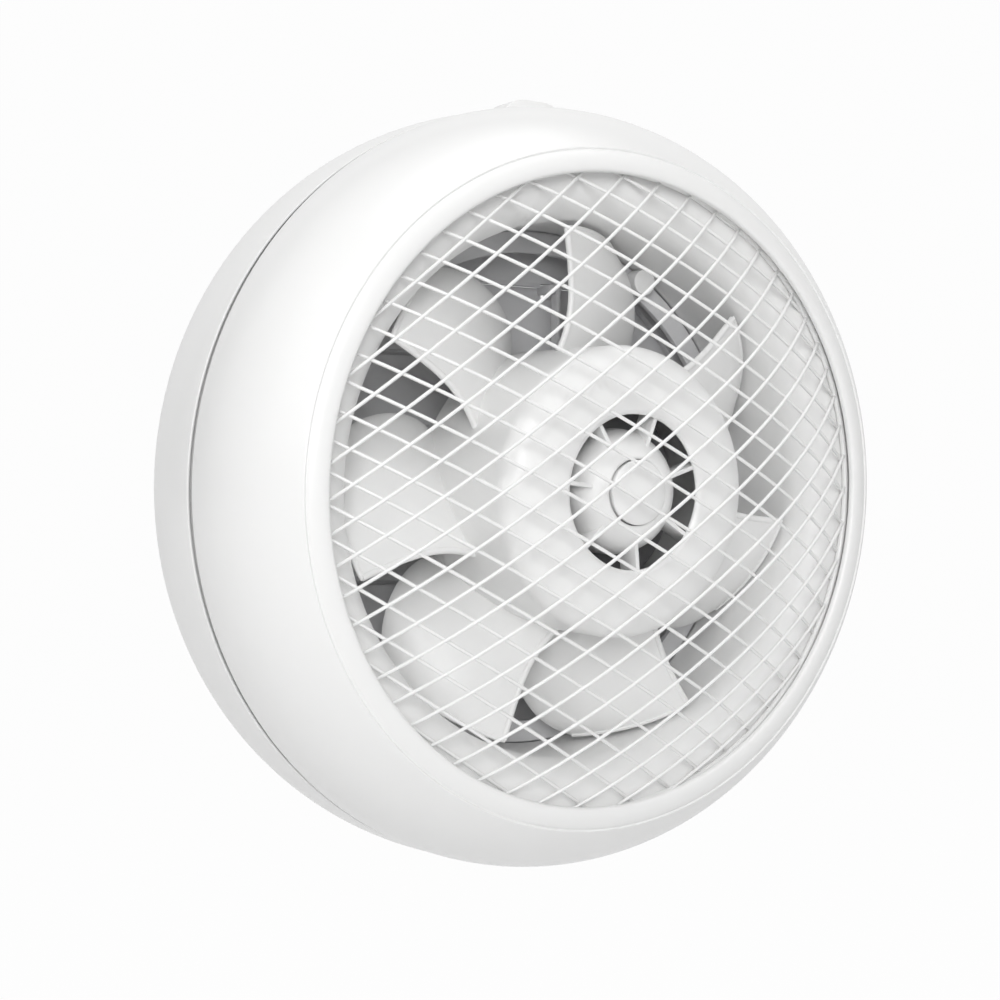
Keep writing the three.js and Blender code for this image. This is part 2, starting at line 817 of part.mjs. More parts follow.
/** A hexagon nut on the Y axis, with a bore of as many sides as what it takes. */
function nut(boreRadius, cornerRadius, frontY, rearY, boreSides) {
  return cut(
    barY(cornerRadius, frontY, rearY, 0, 0, 6),
    barY(boreRadius, frontY - overcut, rearY + overcut, 0, 0, boreSides),
  );
}

const clampNut = nut(
  clampScrewRadius + screwClearance, clampNutRadius,
  outerFlangeRearY + seatGap, outerFlangeRearY + seatGap + clampNutHeight, screwSides,
).translate([clampScrewCircle, 0, 0]);
addPieces('clamp_nut', around(clampNut, clampScrewCount, diagonal), 'steel');

// ---------------------------------------------------------------- impeller

/** One blade: a thin twisted sheet from the hub to the tip. */
function blade() {
  const stations = 4;
  const chords = 3;
  const rootRadius = hubRadius - hubWall / 2;
  const crowding = 1.5;
  const cornerSharpness = 6;
  const leadFade = 5;
  const corners = [];
  const faces = [];
  const front = (i, j) => i * (chords + 1) + j;
  const back = (i, j) => front(i, j) + (stations + 1) * (chords + 1);
  const place = (radius, angle, y) => corners.push(
    radius * Math.cos(angle * degrees), y, radius * Math.sin(angle * degrees),
  );
  [-bladeThickness / 2, bladeThickness / 2].forEach((side) => {
    for (let i = 0; i <= stations; i += 1) {
      // stations crowd towards the root, where the leading edge bends most
      const s = (i / stations) ** crowding;
      const radius = rootRadius + (bladeTipRadius - rootRadius) * s;
      const corner = bladeCornerAngle * s ** cornerSharpness;
      const span = bladeRootAngle + (bladeTipAngle - bladeRootAngle) * s - corner;
      const lead = bladeRootLead * (1 - s) ** leadFade - bladeLeadDip * s * (1 - s);
      const frontY = bladeRootFrontY + (bladeTipFrontY - bladeRootFrontY) * s;
      const depth = bladeRootDepth + (bladeTipDepth - bladeRootDepth) * s;
      const slope = Math.atan2(depth, span * degrees * radius);
      for (let j = 0; j <= chords; j += 1) {
        const t = j / chords;
        const arch = bladeCamber * 4 * t * (1 - t);
        const swing = (side + arch) * Math.sin(slope);
        const angle = firstBladeAngle + lead - span * t - swing / radius / degrees;
        place(radius, angle, frontY + depth * t + (side - arch) * Math.cos(slope));
      }
    }
  });
  const quad = (a, b, c, d) => faces.push(a, b, c, a, c, d);
  for (let i = 0; i < stations; i += 1) {
    for (let j = 0; j < chords; j += 1) {
      quad(front(i, j), front(i, j + 1), front(i + 1, j + 1), front(i + 1, j));
      quad(back(i, j), back(i + 1, j), back(i + 1, j + 1), back(i, j + 1));
    }
    quad(front(i, 0), front(i + 1, 0), back(i + 1, 0), back(i, 0));
    quad(front(i, chords), back(i, chords), back(i + 1, chords), front(i + 1, chords));
  }
  for (let j = 0; j < chords; j += 1) {
    quad(front(0, j), back(0, j), back(0, j + 1), front(0, j + 1));
    quad(front(stations, j), front(stations, j + 1), back(stations, j + 1), back(stations, j));
  }
  const geometry = new THREE.BufferGeometry();
  geometry.setAttribute('position', new THREE.Float32BufferAttribute(corners, 3));
  geometry.setIndex(faces);
  return solidOf(geometry);
}

function impeller() {
  const flatRadius = hubBoreRadius + hubFlatWidth;
  const faceRearY = hubFrontY + hubWall;
  const hub = turned([
    [hubRadius, hubRearY],
    ...curve(
      [hubRadius, hubFrontY + hubRounding], [hubRadius, faceRearY],
      [flatRadius + hubFlatWidth, hubFrontY], [flatRadius, hubFrontY], 3,
    ),
    [hubBoreRadius + hubBoreRounding, hubFrontY + hubBoreRounding / 3],
    [hubBoreRadius, hubFrontY + hubBoreRounding],
    [hubBoreRadius, faceRearY],
    [flatRadius + hubWall, faceRearY],
    [hubRadius - hubWall, faceRearY + hubRounding],
    [hubRadius - hubWall, hubRearY],
  ], hubSides);
  const recessRadius = capRadius + seatGap;
  const recessFloorY = bossFrontY + capRecessDepth;
  const bossFloorY = recessFloorY + bossWall;
  const crownRearY = bossFrontY + bossCrownDepth;
  const boss = turned([
    [bossRadius, bossRearY],
    ...curve(
      [bossRadius, crownRearY], [bossRadius, (crownRearY + bossFrontY) / 2],
      [bossRadius - bossWall * 1.5, bossFrontY + bossWall], [recessRadius + bossLandWidth, bossFrontY], 3,
    ),
    [recessRadius, bossFrontY + recessChamfer],
    [recessRadius, recessFloorY],
    [shaftRadius + seatGap, recessFloorY],
    [shaftRadius + seatGap, bossRearY + bossWall],
    [bossCoreRadius, bossRearY + bossWall],
    [bossCoreRadius, bossFloorY],
    [bossRadius - bossWall * 2, bossFloorY],
    [bossRadius - bossWall, crownRearY],
    [bossRadius - bossWall, bossRearY],
  ], bossSides);
  const spoke = box(
    [spokeRootRadius, spokeFrontY, -spokeThickness / 2],
    [spokeTipRadius, spokeFrontY + spokeDepth, spokeThickness / 2],
  );
  return join(
    hub, boss,
    ...around(spoke, bladeCount, firstBladeAngle - 180 / bladeCount),
    ...around(blade(), bladeCount),
  );
}

addPiece('impeller', impeller(), 'whiteBlade');

function impellerCap() {
  const rimFrontY = bossFrontY - seatGap - capRimHeight;
  const skirtOuter = capRadius - capSkirtStep;
  return turned([
    [0, rimFrontY - capCrown], [capRadius * capShoulderShare, rimFrontY - capCrown * capShoulderRise],
    [capRadius, rimFrontY], [capRadius, bossFrontY - seatGap],
    [skirtOuter, bossFrontY], [skirtOuter, bossFrontY + capSkirtDepth],
    [skirtOuter - capSkirtWall, bossFrontY + capSkirtDepth],
    [skirtOuter - capSkirtWall, bossFrontY - seatGap],
    [0, bossFrontY - seatGap],
  ], bossSides);
}

addPiece('impeller_cap', impellerCap(), 'whiteBlade');

// the washer and nut that hold the impeller on its shaft
const washerRearY = bossFrontY + capRecessDepth - seatGap;
const nutRearY = washerRearY - washerThickness - seatGap;
addPiece('shaft_washer', ring(
  shaftRadius + seatGap, washerRadius, washerRearY - washerThickness, washerRearY, motorSides,
), 'steel');
addPiece('shaft_nut', nut(
  shaftRadius + seatGap, nutRadius, nutRearY - nutHeight, nutRearY, motorSides,
), 'steel');

// ---------------------------------------------------------------- motor

const rotorFrontY = (motorFrontY + motorRearY) / 2 - rotorLength / 2;
const rotorRearY = rotorFrontY + rotorLength;
const statorOuterRadius = motorRadius - motorWall - seatGap;
const statorInnerRadius = rotorRadius + rotorAirGap;
const frontBearingY = motorFrontY + motorWall + seatGap;
const rearBearingY = motorRearY - motorWall - seatGap - bearingWidth;
const bearingSeatRadius = bearingOuterRadius + seatGap;

/** One half of the motor's can, with the seat of a bearing in its end wall. */
function motorHalf(endY, openY, shaftHole) {
  const inward = Math.sign(openY - endY);
  const wallY = endY + inward * motorWall;
  const seatY = wallY + inward * (bearingWidth - bearingSeatSetback);
  const outline = [
    [motorRadius - motorCornerRadius, endY],
    [motorRadius, endY + inward * motorCornerRadius],
    [motorRadius, openY],
    [motorRadius - motorWall, openY],
    [motorRadius - motorWall, wallY + inward * motorInnerChamfer],
    [motorRadius - motorWall - motorInnerChamfer, wallY],
    [bearingSeatRadius + bearingSeatWall, wallY],
    [bearingSeatRadius + bearingSeatWall, seatY],
    [bearingSeatRadius, seatY],
    [bearingSeatRadius, wallY],
    [shaftHole, wallY],
    [shaftHole, endY],
  ];
  if (shaftHole === 0) outline.splice(-2, 2, [0, wallY], [0, endY]);
  return turned(outline, motorSides);
}

addPiece('motor_front_shell', motorHalf(
  motorFrontY, motorSplitY - seatGap / 2, shaftRadius + motorShaftClearance,
), 'darkMotor');

/** Shanks that fix the motor to the plate of the spider. */
function motorShanks(radius, frontY, rearY) {
  return around(barY(radius, frontY, rearY, motorScrewCircle), spiderArmCount, motorScrewAngle);
}

addPiece('motor_rear_shell', cut(
  motorHalf(motorRearY, motorSplitY + seatGap / 2, 0),
  ...motorShanks(
    motorScrewRadius + screwClearance, motorRearY - motorWall - overcut, motorRearY + overcut,
  ),
), 'darkMotor');

addPiece('stator_core', ring(
  statorInnerRadius, statorOuterRadius, rotorFrontY, rotorRearY, motorSides,
), 'laminations');

/** A winding end beside the stator, at a place along Y. */
function windingEnd(frontY) {
  return ring(windingInnerRadius, windingOuterRadius, frontY, frontY + windingHeight, motorSides);
}

addPiece('front_winding', windingEnd(rotorFrontY - seatGap - windingHeight), 'copper');
addPiece('rear_winding', windingEnd(rotorRearY + seatGap), 'copper');

addPiece('rotor_core', ring(
  shaftRadius + seatGap, rotorRadius, rotorFrontY, rotorRearY, motorSides,
), 'laminations');

addPiece('front_bearing', ring(
  shaftRadius + seatGap, bearingOuterRadius, frontBearingY, frontBearingY + bearingWidth, motorSides,
), 'steel');

addPiece('rear_bearing', ring(
  shaftRadius + seatGap, bearingOuterRadius, rearBearingY, rearBearingY + bearingWidth, motorSides,
), 'steel');

addPiece('motor_shaft', barY(
  shaftRadius, nutRearY - nutHeight - shaftTail, rearBearingY + bearingWidth, 0, 0, motorSides,
), 'steel');

// ---------------------------------------------------------------- motor spider

function motorSpider() {
  const rim = ring(spiderRingInner, spiderRingOuter, spiderFrontY, spiderRearY, ductSides);
  const hubPlate = ring(spiderPlateHole, spiderPlateRadius, spiderFrontY, spiderRearY, motorSides);
  const arm = box(
    [spiderPlateRadius - spiderArmRoot, spiderFrontY, -spiderArmWidth / 2],
    [spiderRingInner + spiderArmRoot, spiderRearY, spiderArmWidth / 2],
  );
  const armRib = box(
    [spiderPlateRadius - spiderArmRoot, spiderRearY - rootOverlap, -spiderRibThickness / 2],
    [spiderRingInner + rootOverlap, spiderRearY + spiderRibHeight, spiderRibThickness / 2],
  );
  const arms = around(join(arm, armRib), spiderArmCount, spiderStartAngle);
  return cut(
    join(rim, hubPlate, ...arms),
    ...spiderShanks(spiderScrewRadius + screwClearance, spiderFrontY - overcut, spiderRearY + overcut),
    ...motorShanks(motorScrewRadius + screwClearance, spiderFrontY - overcut, spiderRearY + overcut),
  );
}

addPiece('motor_spider', motorSpider(), 'greyFlap');

const spiderScrew = screw(
  spiderScrewRadius, spiderScrewHead, spiderScrewHeadHeight,
  spiderRearY + seatGap, spiderBossFrontY + spiderBossFloor + seatGap,
).translate([spiderScrewCircle, 0, 0]);
addPieces('spider_screw', around(spiderScrew, spiderArmCount, spiderStartAngle), 'steel');

const motorScrew = screw(
  motorScrewRadius, motorScrewHead, motorScrewHeadHeight,
  spiderRearY + seatGap, motorRearY - motorWall + seatGap,
).translate([motorScrewCircle, 0, 0]);
addPieces('motor_screw', around(motorScrew, spiderArmCount, motorScrewAngle), 'steel');

// ---------------------------------------------------------------- shutter

/** The hinge height of a flap, counted from the top. */
function hingeZ(index) {
  return topHingeZ - index * flapPitch;
}

/** Half the width of a circle at a height. */
function halfChord(radius, z) {
  return Math.sqrt(Math.max(radius ** 2 - z ** 2, 0));
}

/** Where the side edge of a flap ends at its hinge. */
function flapHalfWidth(index) {
  const z = hingeZ(index);
  return Math.min(halfChord(flapRadius, z + flapTopMargin), halfChord(flapRadius, z));
}

function shutterFrame() {
  const rim = ring(
    shutterOpeningRadius, shutterFrameRadius, shutterFrontY, shutterRearY, ductSides,
  );
  // the fixed segment above the top flap
  const segmentRadius = shutterOpeningRadius + segmentOverlap;
  const start = Math.asin((topHingeZ + segmentHingeGap) / segmentRadius);
  const chord = Array.from({ length: segmentSteps + 1 }, (_, i) => {
    const angle = start + ((Math.PI - 2 * start) * i) / segmentSteps;
    return [segmentRadius * Math.cos(angle), segmentRadius * Math.sin(angle)];
  });
  const crankRoom = box(
    [crankX - crankSideRoom, shutterFrontY - overcut, topHingeZ],
    [crankX + crankThickness + crankSideRoom, shutterRearY + overcut,
      topHingeZ + crankHalfHeight + pinRunningGap],
  );
  const segment = cut(plate(chord, shutterFrontY, shutterRearY), crankRoom);
  const ears = [];
  const holes = [];
  for (let index = 0; index < flapCount; index += 1) {
    const z = hingeZ(index);
    const inner = flapHalfWidth(index) + flapEndGap;
    [-1, 1].forEach((side) => {
      const xs = [side * inner, side * (inner + earThickness)].sort((a, b) => a - b);
      ears.push(box(
        [xs[0], shutterRearY - rootOverlap, z - earHalfHeight],
        [xs[1], hingeY + earReach, z + earHalfHeight],
      ));
      const holeEnds = [side * (inner - earHoleRelief), side * (inner + earThickness + overcut)];
      const [from, to] = holeEnds.sort((a, b) => a - b);
      holes.push(barX(flapPinRadius + pinRunningGap, from, to, hingeY, z));
    });
  }
  const screwHoles = shutterShanks(
    shutterScrewRadius + screwClearance, shutterFrontY - overcut, shutterRearY + overcut,
  );
  return cut(join(rim, segment, ...ears), ...holes, ...screwHoles);
}

addPiece('shutter_frame', shutterFrame(), 'greyFlap');

const shutterScrew = screw(
  shutterScrewRadius, shutterScrewHead, shutterScrewHeadHeight,
  shutterRearY + seatGap, collarRearY - shutterBossDepth + shutterBossFloor + seatGap,
).translate([shutterScrewCircle, 0, 0]);
addPieces('shutter_screw', around(shutterScrew, shutterScrewCount, diagonal), 'steel');

/** The outline of a flap in X and Z, drawn in where the hinge ears stand beside it. */
function flapOutline(index) {
  const isLast = index === flapCount - 1;
  const top = hingeZ(index) + flapTopMargin;
  const bottom = isLast
    ? -flapRadius * lastFlapReach
    : hingeZ(index + 1) + flapTopMargin + flapGap;
  const shoulder = hingeZ(index) - flapNotchDepth;
  const half = flapHalfWidth(index);
  const earTop = hingeZ(index + 1) + earHalfHeight + flapEndGap;
  const narrowed = !isLast && halfChord(flapRadius, bottom) + flapEndGap > flapHalfWidth(index + 1);
  const lowest = narrowed ? earTop : bottom;
  const side = [[half, top]];
  if (halfChord(flapRadius, shoulder) > half) side.push([half, shoulder]);
  const steps = 3;
  for (let i = 0; i <= steps; i += 1) {
    const z = shoulder + ((lowest - shoulder) * i) / steps;
    side.push([halfChord(flapRadius, z), z]);
  }
  if (narrowed) {
    const narrowHalf = flapHalfWidth(index + 1) - flapEndGap;
    side.push([narrowHalf, earTop], [narrowHalf, bottom]);
  }
  const mirrored = side.map(([x, z]) => [-x, z]).reverse();
  return [...side, ...mirrored];
}

/** The lip below a flap that covers the gap to the next flap from the outdoor side. */
function flapLip(index) {
  const bottom = hingeZ(index + 1) + flapTopMargin + flapGap;
  const half = flapHalfWidth(index + 1) - flapLipInset;
  const sheetRearY = flapFrontY + flapThickness;
  const rearY = sheetRearY + seatGap + flapLipThickness;
  return join(
    box([-half, sheetRearY - flapThickness / 2, bottom], [half, rearY, bottom + flapRibRise + flapLipRoot]),
    box([-half, sheetRearY + seatGap, bottom - flapLipDrop], [half, rearY, bottom + flapLipRoot]),
  );
}

function flap(index) {
  const z = hingeZ(index);
  const half = flapHalfWidth(index);
  const sheet = plate(flapOutline(index), flapFrontY, flapFrontY + flapThickness);
  const pins = [-1, 1].map((side) => {
    const ends = [side * (half - flapPinRoot), side * (half + flapEndGap + earThickness)];
    const xs = ends.sort((a, b) => a - b);
    return barX(flapPinRadius, xs[0], xs[1], hingeY, z);
  });
  const crank = box(
    [crankX, hingeY - crankLength - crankHalfHeight, z - crankHalfHeight],
    [crankX + crankThickness, flapFrontY + flapThickness / 2, z + crankHalfHeight],
  );
  const crankPin = barX(
    flapPinRadius, crankX + crankThickness / 2, linkX + linkThickness + crankPinTail, linkY, z,
  );
  // room for the link bar where the open flap comes down on it
  const notch = box(
    [linkX - linkNotchMargin, flapFrontY - overcut, z - linkNotchDepth],
    [linkX + linkThickness + linkNotchMargin, flapFrontY + flapThickness + overcut,
      z + flapTopMargin + overcut],
  );
  // a stiffening rib near the lower edge, whose weight keeps the flap shut
  const ribZ = Math.min(...flapOutline(index).map(([, height]) => height)) + flapRibRise;
  const ribHalf = Math.min(
    halfChord(flapRadius, ribZ), flapHalfWidth(Math.min(index + 1, flapCount - 1)),
  ) - flapRibInset;
  const rib = box(
    [-ribHalf, flapFrontY + flapThickness / 2, ribZ],
    [ribHalf, flapFrontY + flapThickness + flapRibDepth, ribZ + flapRibThickness],
  );
  const parts = [...pins, crank, crankPin, rib];
  if (index < flapCount - 1) parts.push(flapLip(index));
  return join(cut(sheet, notch), ...parts);
}

addPieces('shutter_flap', Array.from({ length: flapCount }, (_, index) => flap(index)), 'greyFlap');

function shutterLink() {
  const bar = box(
    [linkX, linkY - linkWidth / 2, hingeZ(flapCount - 1) - linkEndMargin],
    [linkX + linkThickness, linkY + linkWidth / 2, hingeZ(0) + linkEndMargin],
  );
  const holes = Array.from({ length: flapCount }, (_, index) => barX(
    flapPinRadius + pinRunningGap, linkX - overcut, linkX + linkThickness + overcut, linkY, hingeZ(index),
  ));
  return cut(bar, ...holes);
}

addPiece('shutter_link', shutterLink(), 'greyFlap');

// ---------------------------------------------------------------- outdoor cover and grille

/** The side of the outdoor cover from its front edge to its rear rim. */
function rearSide(wall, steps) {
  return curve(
    [shellRadius - wall, shellRearEdgeY],
    [rearBulgeRadius - wall, shellRearEdgeY + rearCoverDepth * 0.31],
    [rearBulgeRadius - 0.3 - wall, shellRearEdgeY + rearCoverDepth * 0.78],
    [rearRimRadius - wall * 0.4, rearRimY - wall * 0.9],
    steps,
  );
}

function rearCover() {
  const shell = turned([
    ...rearSide(0, 4),
    [rearOpeningRadius + rearLipWidth * rearLipCrownShare, rearRimY + rearLipRise],
    [rearOpeningRadius, rearRimY + rearLipRise - 1],
    [rearOpeningRadius, ledgeRearY],
    [ledgeInnerRadius, ledgeRearY],
    [ledgeInnerRadius, ledgeFrontY],
    [rearOpeningRadius - 1, ledgeFrontY],
    ...rearSide(shellWall, 3).reverse(),
  ], shellSides);
  // the lug on top, a low crown that fades into the side
  const lugFoot = rearBulgeRadius - shellWall;
  const lugHalf = lugWidth / 2;
  const lug = plate([
    [-lugHalf, lugFoot - rootOverlap], [lugHalf, lugFoot - rootOverlap],
    [lugHalf, lugFoot + rootOverlap],
    [lugHalf * lugShoulderShare, lugFoot + shellWall + lugHeight * lugShoulderRise],
    [lugHalf * lugCrownShare, lugFoot + shellWall + lugHeight],
    [-lugHalf * lugCrownShare, lugFoot + shellWall + lugHeight],
    [-lugHalf * lugShoulderShare, lugFoot + shellWall + lugHeight * lugShoulderRise],
    [-lugHalf, lugFoot + rootOverlap],
  ], lugFrontY, lugFrontY + lugLength);
  return cut(join(shell, lug), ...coverShanks(
    coverScrewRadius + screwClearance, ledgeFrontY - overcut, ledgeRearY + overcut,
  ));
}

addPiece('rear_cover', rearCover(), 'whiteShell');

function weatherGrille() {
  const skirtOuter = ledgeInnerRadius - grilleSkirtGap;
  const skirtInner = skirtOuter - grilleSkirtWall;
  const rim = turned([
    [skirtInner, grilleSkirtFrontY], [skirtOuter, grilleSkirtFrontY],
    [skirtOuter, grilleFrontY], [grilleOuterRadius, grilleFrontY],
    [grilleOuterRadius, grilleRearY], [skirtInner, grilleRearY],
  ], shellSides);
  const louvrePitch = (2 * ledgeInnerRadius) / (louvreCount + 1);
  const middleY = (grilleSkirtFrontY + grilleRearY) / 2;
  const louvres = Array.from({ length: louvreCount }, (_, i) => {
    const slat = new THREE.BoxGeometry(2 * skirtOuter, louvreChord, louvreThickness);
    slat.rotateX(-louvreTilt * degrees);
    slat.translate(0, middleY, louvrePitch * (i - (louvreCount - 1) / 2));
    return solidOf(slat);
  });
  const ribs = Array.from({ length: grilleRibCount }, (_, i) => {
    const x = ledgeInnerRadius * grilleRibSpread * (i - (grilleRibCount - 1) / 2);
    return box(
      [x - grilleRibWidth / 2, grilleFrontY, -skirtOuter],
      [x + grilleRibWidth / 2, grilleRearY, skirtOuter],
    );
  });
  const inside = ring(0, skirtOuter - grilleSkirtWall / 2, ledgeFrontY, rearRimY + louvreChord, shellSides);
  return cut(
    join(...louvres, ...ribs).intersect(inside).add(rim),
    ...coverShanks(coverScrewRadius + screwClearance, grilleFrontY - overcut, grilleRearY + overcut),
  );
}

addPiece('weather_grille', weatherGrille(), 'whiteShell');

const coverScrew = screw(
  coverScrewRadius, coverScrewHead, coverScrewHeadHeight,
  grilleRearY + seatGap, pillarRearY - coverScrewGrip + seatGap,
).translate([coverScrewCircle, 0, 0]);
addPieces('cover_screw', around(coverScrew, coverScrewCount), 'steel');

// ---------------------------------------------------------------- terminal box

const terminalBoxFrontY = terminalBoxRearY - terminalBoxDepth;
const terminalLowZ = -terminalBoxRadius - terminalBoxHeight / 2;
const terminalHighZ = terminalLowZ + terminalBoxHeight;
const glandMiddleX = terminalBoxWidth / 2;
const glandY = (terminalBoxFrontY + terminalBoxRearY) / 2;

function terminalBox() {
  const outside = box(
    [-terminalBoxWidth / 2, terminalBoxFrontY, terminalLowZ],
    [terminalBoxWidth / 2, terminalBoxRearY, terminalHighZ],
  );
  const inside = box(
    [-terminalBoxWidth / 2 + terminalBoxWall, terminalBoxFrontY - overcut,
      terminalLowZ + terminalBoxWall],
    [terminalBoxWidth / 2 - terminalBoxWall, terminalBoxRearY - terminalBoxWall,
      terminalHighZ - terminalBoxWall],
  );
  const entry = barX(
    glandRadius + screwClearance, glandMiddleX - terminalBoxWall - overcut, glandMiddleX + overcut, glandY,
    -terminalBoxRadius, glandSides,
  );
  return cut(outside, inside, entry);
}

addPiece('terminal_box', terminalBox(), 'whiteFrame');

addPiece('terminal_lid', box(
  [-terminalBoxWidth / 2, terminalBoxFrontY - seatGap - terminalLidThickness, terminalLowZ],
  [terminalBoxWidth / 2, terminalBoxFrontY - seatGap, terminalHighZ],
), 'whiteFrame');

const blockRearY = terminalBoxRearY - terminalBoxWall - seatGap;
addPiece('terminal_block', box(
  [-terminalBlockLength / 2 - terminalBlockShift, blockRearY - terminalBlockDepth,
    -terminalBoxRadius - terminalBlockHeight / 2],
  [terminalBlockLength / 2 - terminalBlockShift, blockRearY,
    -terminalBoxRadius + terminalBlockHeight / 2],
), 'darkMotor');

/** A round bar along the gland's own axis, from inside the box to a length beyond it. */
function glandBar(radius, extra) {
  return barX(
    radius, glandMiddleX - terminalBoxWall - glandInnerReach - extra, glandMiddleX + glandLength + extra,
    glandY, -terminalBoxRadius, glandSides,
  );
}

addPiece('cable_gland', cut(glandBar(glandRadius, 0), glandBar(glandBore, overcut)), 'darkMotor');

export default fan;
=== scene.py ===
"""Looks for a window exhaust fan: white moulded shells, a domed wire guard, a seven-bladed
impeller and a back-draught shutter, on a pale floor under soft studio light.

Lengths in the making of the pieces are millimetres, in the frame of the CAD model: the fan turns
about Y, the room side faces -Y, and the origin is on the axis in the middle of the pane. The
camera, the floor and the lamps are placed in metres."""

import json
import math

import bmesh
import bpy
from mathutils import Matrix, Vector


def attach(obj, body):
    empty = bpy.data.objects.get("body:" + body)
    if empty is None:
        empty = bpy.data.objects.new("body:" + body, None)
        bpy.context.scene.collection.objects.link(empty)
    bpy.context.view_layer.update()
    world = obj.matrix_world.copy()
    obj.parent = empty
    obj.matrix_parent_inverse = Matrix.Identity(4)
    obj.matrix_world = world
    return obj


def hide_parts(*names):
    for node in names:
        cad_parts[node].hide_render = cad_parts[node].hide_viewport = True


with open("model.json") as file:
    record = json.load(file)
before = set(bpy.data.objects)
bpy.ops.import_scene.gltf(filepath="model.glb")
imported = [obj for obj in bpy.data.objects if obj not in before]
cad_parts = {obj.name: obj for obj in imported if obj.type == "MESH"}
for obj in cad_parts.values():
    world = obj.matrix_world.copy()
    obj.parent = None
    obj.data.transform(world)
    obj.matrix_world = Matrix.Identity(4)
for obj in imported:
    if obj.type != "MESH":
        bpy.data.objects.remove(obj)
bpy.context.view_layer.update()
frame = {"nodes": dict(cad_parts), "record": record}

MM = 0.001

# ---------------------------------------------------------------- camera

CAMERA_PLACE = (-0.3923, -0.6000, 0.0135)
CAMERA_RIGHT = (0.8506, -0.5256, 0.0162)
CAMERA_AHEAD = (0.5259, 0.8502, -0.0262)

camera_data = bpy.data.cameras.new("photo_camera")
camera_data.sensor_width = 36.0
camera_data.lens = 61.27
camera_data.clip_start = 0.01
camera = bpy.data.objects.new("photo_camera", camera_data)
camera_back = -Vector(CAMERA_AHEAD).normalized()
camera_up = camera_back.cross(Vector(CAMERA_RIGHT).normalized())
camera_right = camera_up.cross(camera_back)
turn = Matrix((camera_right, camera_up, camera_back)).transposed().to_4x4()
camera.matrix_world = Matrix.Translation(CAMERA_PLACE) @ turn
bpy.context.scene.collection.objects.link(camera)
bpy.context.scene.camera = camera

# ---------------------------------------------------------------- finishes


class Reading:
    """A value or colour in a finish, which takes part in sums and products."""

    def __init__(self, finish, socket):
        self.finish = finish
        self.socket = socket

    def _maths(self, operation, first, second):
        return self.finish.node(
            "ShaderNodeMath", {"operation": operation}, {0: first, 1: second}
        )

    def __add__(self, other):
        return self._maths("ADD", self, other)

    def __radd__(self, other):
        return self._maths("ADD", other, self)

    def __mul__(self, other):
        return self._maths("MULTIPLY", self, other)

    def __rmul__(self, other):
        return self._maths("MULTIPLY", other, self)


def shaded(colour, share):
    """A colour made lighter or darker by a share."""
    return tuple(min(part * share, 1.0) for part in colour[:3]) + (1.0,)


class Finish:
    """A material with its own node tree, round one shader."""

    def __init__(self, name, colour, roughness, metallic=0.0, coat=0.0):
        self.material = bpy.data.materials.new(name)
        self.material.use_nodes = True
        self.tree = self.material.node_tree
        self.shader = self.tree.nodes["Principled BSDF"]
        self.colour = (*colour, 1.0)
        self.set("Base Color", self.colour)
        self.set("Roughness", roughness)
        self.set("Metallic", metallic)
        self.set("Coat Weight", coat)
        self.material.diffuse_color = self.colour

    def node(self, kind, settings=None, inputs=None, output=0):
        """Adds a node and returns one of its outputs."""
        node = self.tree.nodes.new(kind)
        for name, value in (settings or {}).items():
            setattr(node, name, value)
        for name, value in (inputs or {}).items():
            self._feed(node.inputs[name], value)
        return Reading(self, node.outputs[output])

    def set(self, name, value):
        """Sets or links one socket of the shader."""
        self._feed(self.shader.inputs[name], value)

    def _feed(self, socket, value):
        if isinstance(value, Reading):
            self.tree.links.new(value.socket, socket)
        else:
            socket.default_value = value

    def place(self):
        """Where a point of the surface is, in metres, as the mesh holds it."""
        return self.node("ShaderNodeTexCoord", output="Object")

    def noise(self, scale, detail=2.0, roughness=0.5, at=None):
        """Soft cloudy noise round 0.5; scale is in features to the metre."""
        return self.node(
            "ShaderNodeTexNoise", None,
            {"Vector": at or self.place(), "Scale": scale, "Detail": detail,
             "Roughness": roughness},
        )

    def stretched(self, x, y, z):
        """The place on the surface with each axis stretched."""
        return self.node(
            "ShaderNodeVectorMath", {"operation": "MULTIPLY"}, {0: self.place(), 1: (x, y, z)}
        )

    def mixed(self, amount, first, second):
        """One colour into another."""
        return self.node(
            "ShaderNodeMix", {"data_type": "RGBA"}, {0: amount, 6: first, 7: second}, output=2
        )

    def toned(self, amount, low, high):
        """The finish's colour, from one share of it to another."""
        self.set(
            "Base Color", self.mixed(amount, shaded(self.colour, low), shaded(self.colour, high))
        )

    def bumped(self, height, distance):
        """A relief of the surface; distance is in millimetres."""
        self.set("Normal", self.node(
            "ShaderNodeBump", None,
            {"Strength": 1.0, "Distance": distance * MM, "Height": height},
        ))


def moulded_plastic(name, colour, roughness, texture, coat=0.0):
    """Injection-moulded plastic: a slight unevenness of gloss and tone, and a fine skin."""
    finish = Finish(name, colour, roughness, coat=coat)
    cloud = finish.noise(scale=14.0, detail=3.0)
    grain = finish.noise(scale=900.0, roughness=0.6)
    finish.toned(cloud, 0.985, 1.012)
    finish.set("Roughness", roughness - 0.03 + cloud * 0.04 + grain * 0.02)
    finish.bumped(finish.noise(scale=220.0) * 0.5 + grain * 0.5, texture)
    return finish


def coated_wire(name, colour):
    """Dipped wire: the coat is a little uneven along it."""
    finish = Finish(name, colour, 0.34, coat=0.25)
    runs = finish.noise(scale=160.0)
    finish.toned(runs, 0.97, 1.01)
    finish.set("Roughness", 0.3 + runs * 0.1)
    finish.bumped(runs, 0.05)
    return finish


def foam_rubber(name, colour):
    """Closed-cell foam with small pores."""
    finish = Finish(name, colour, 0.9)
    cells = finish.node(
        "ShaderNodeTexVoronoi", None, {"Vector": finish.place(), "Scale": 1400.0}
    )
    finish.toned(cells, 0.8, 1.15)
    finish.set("Roughness", 0.82 + cells * 0.14)
    finish.bumped(cells, 0.15)
    return finish


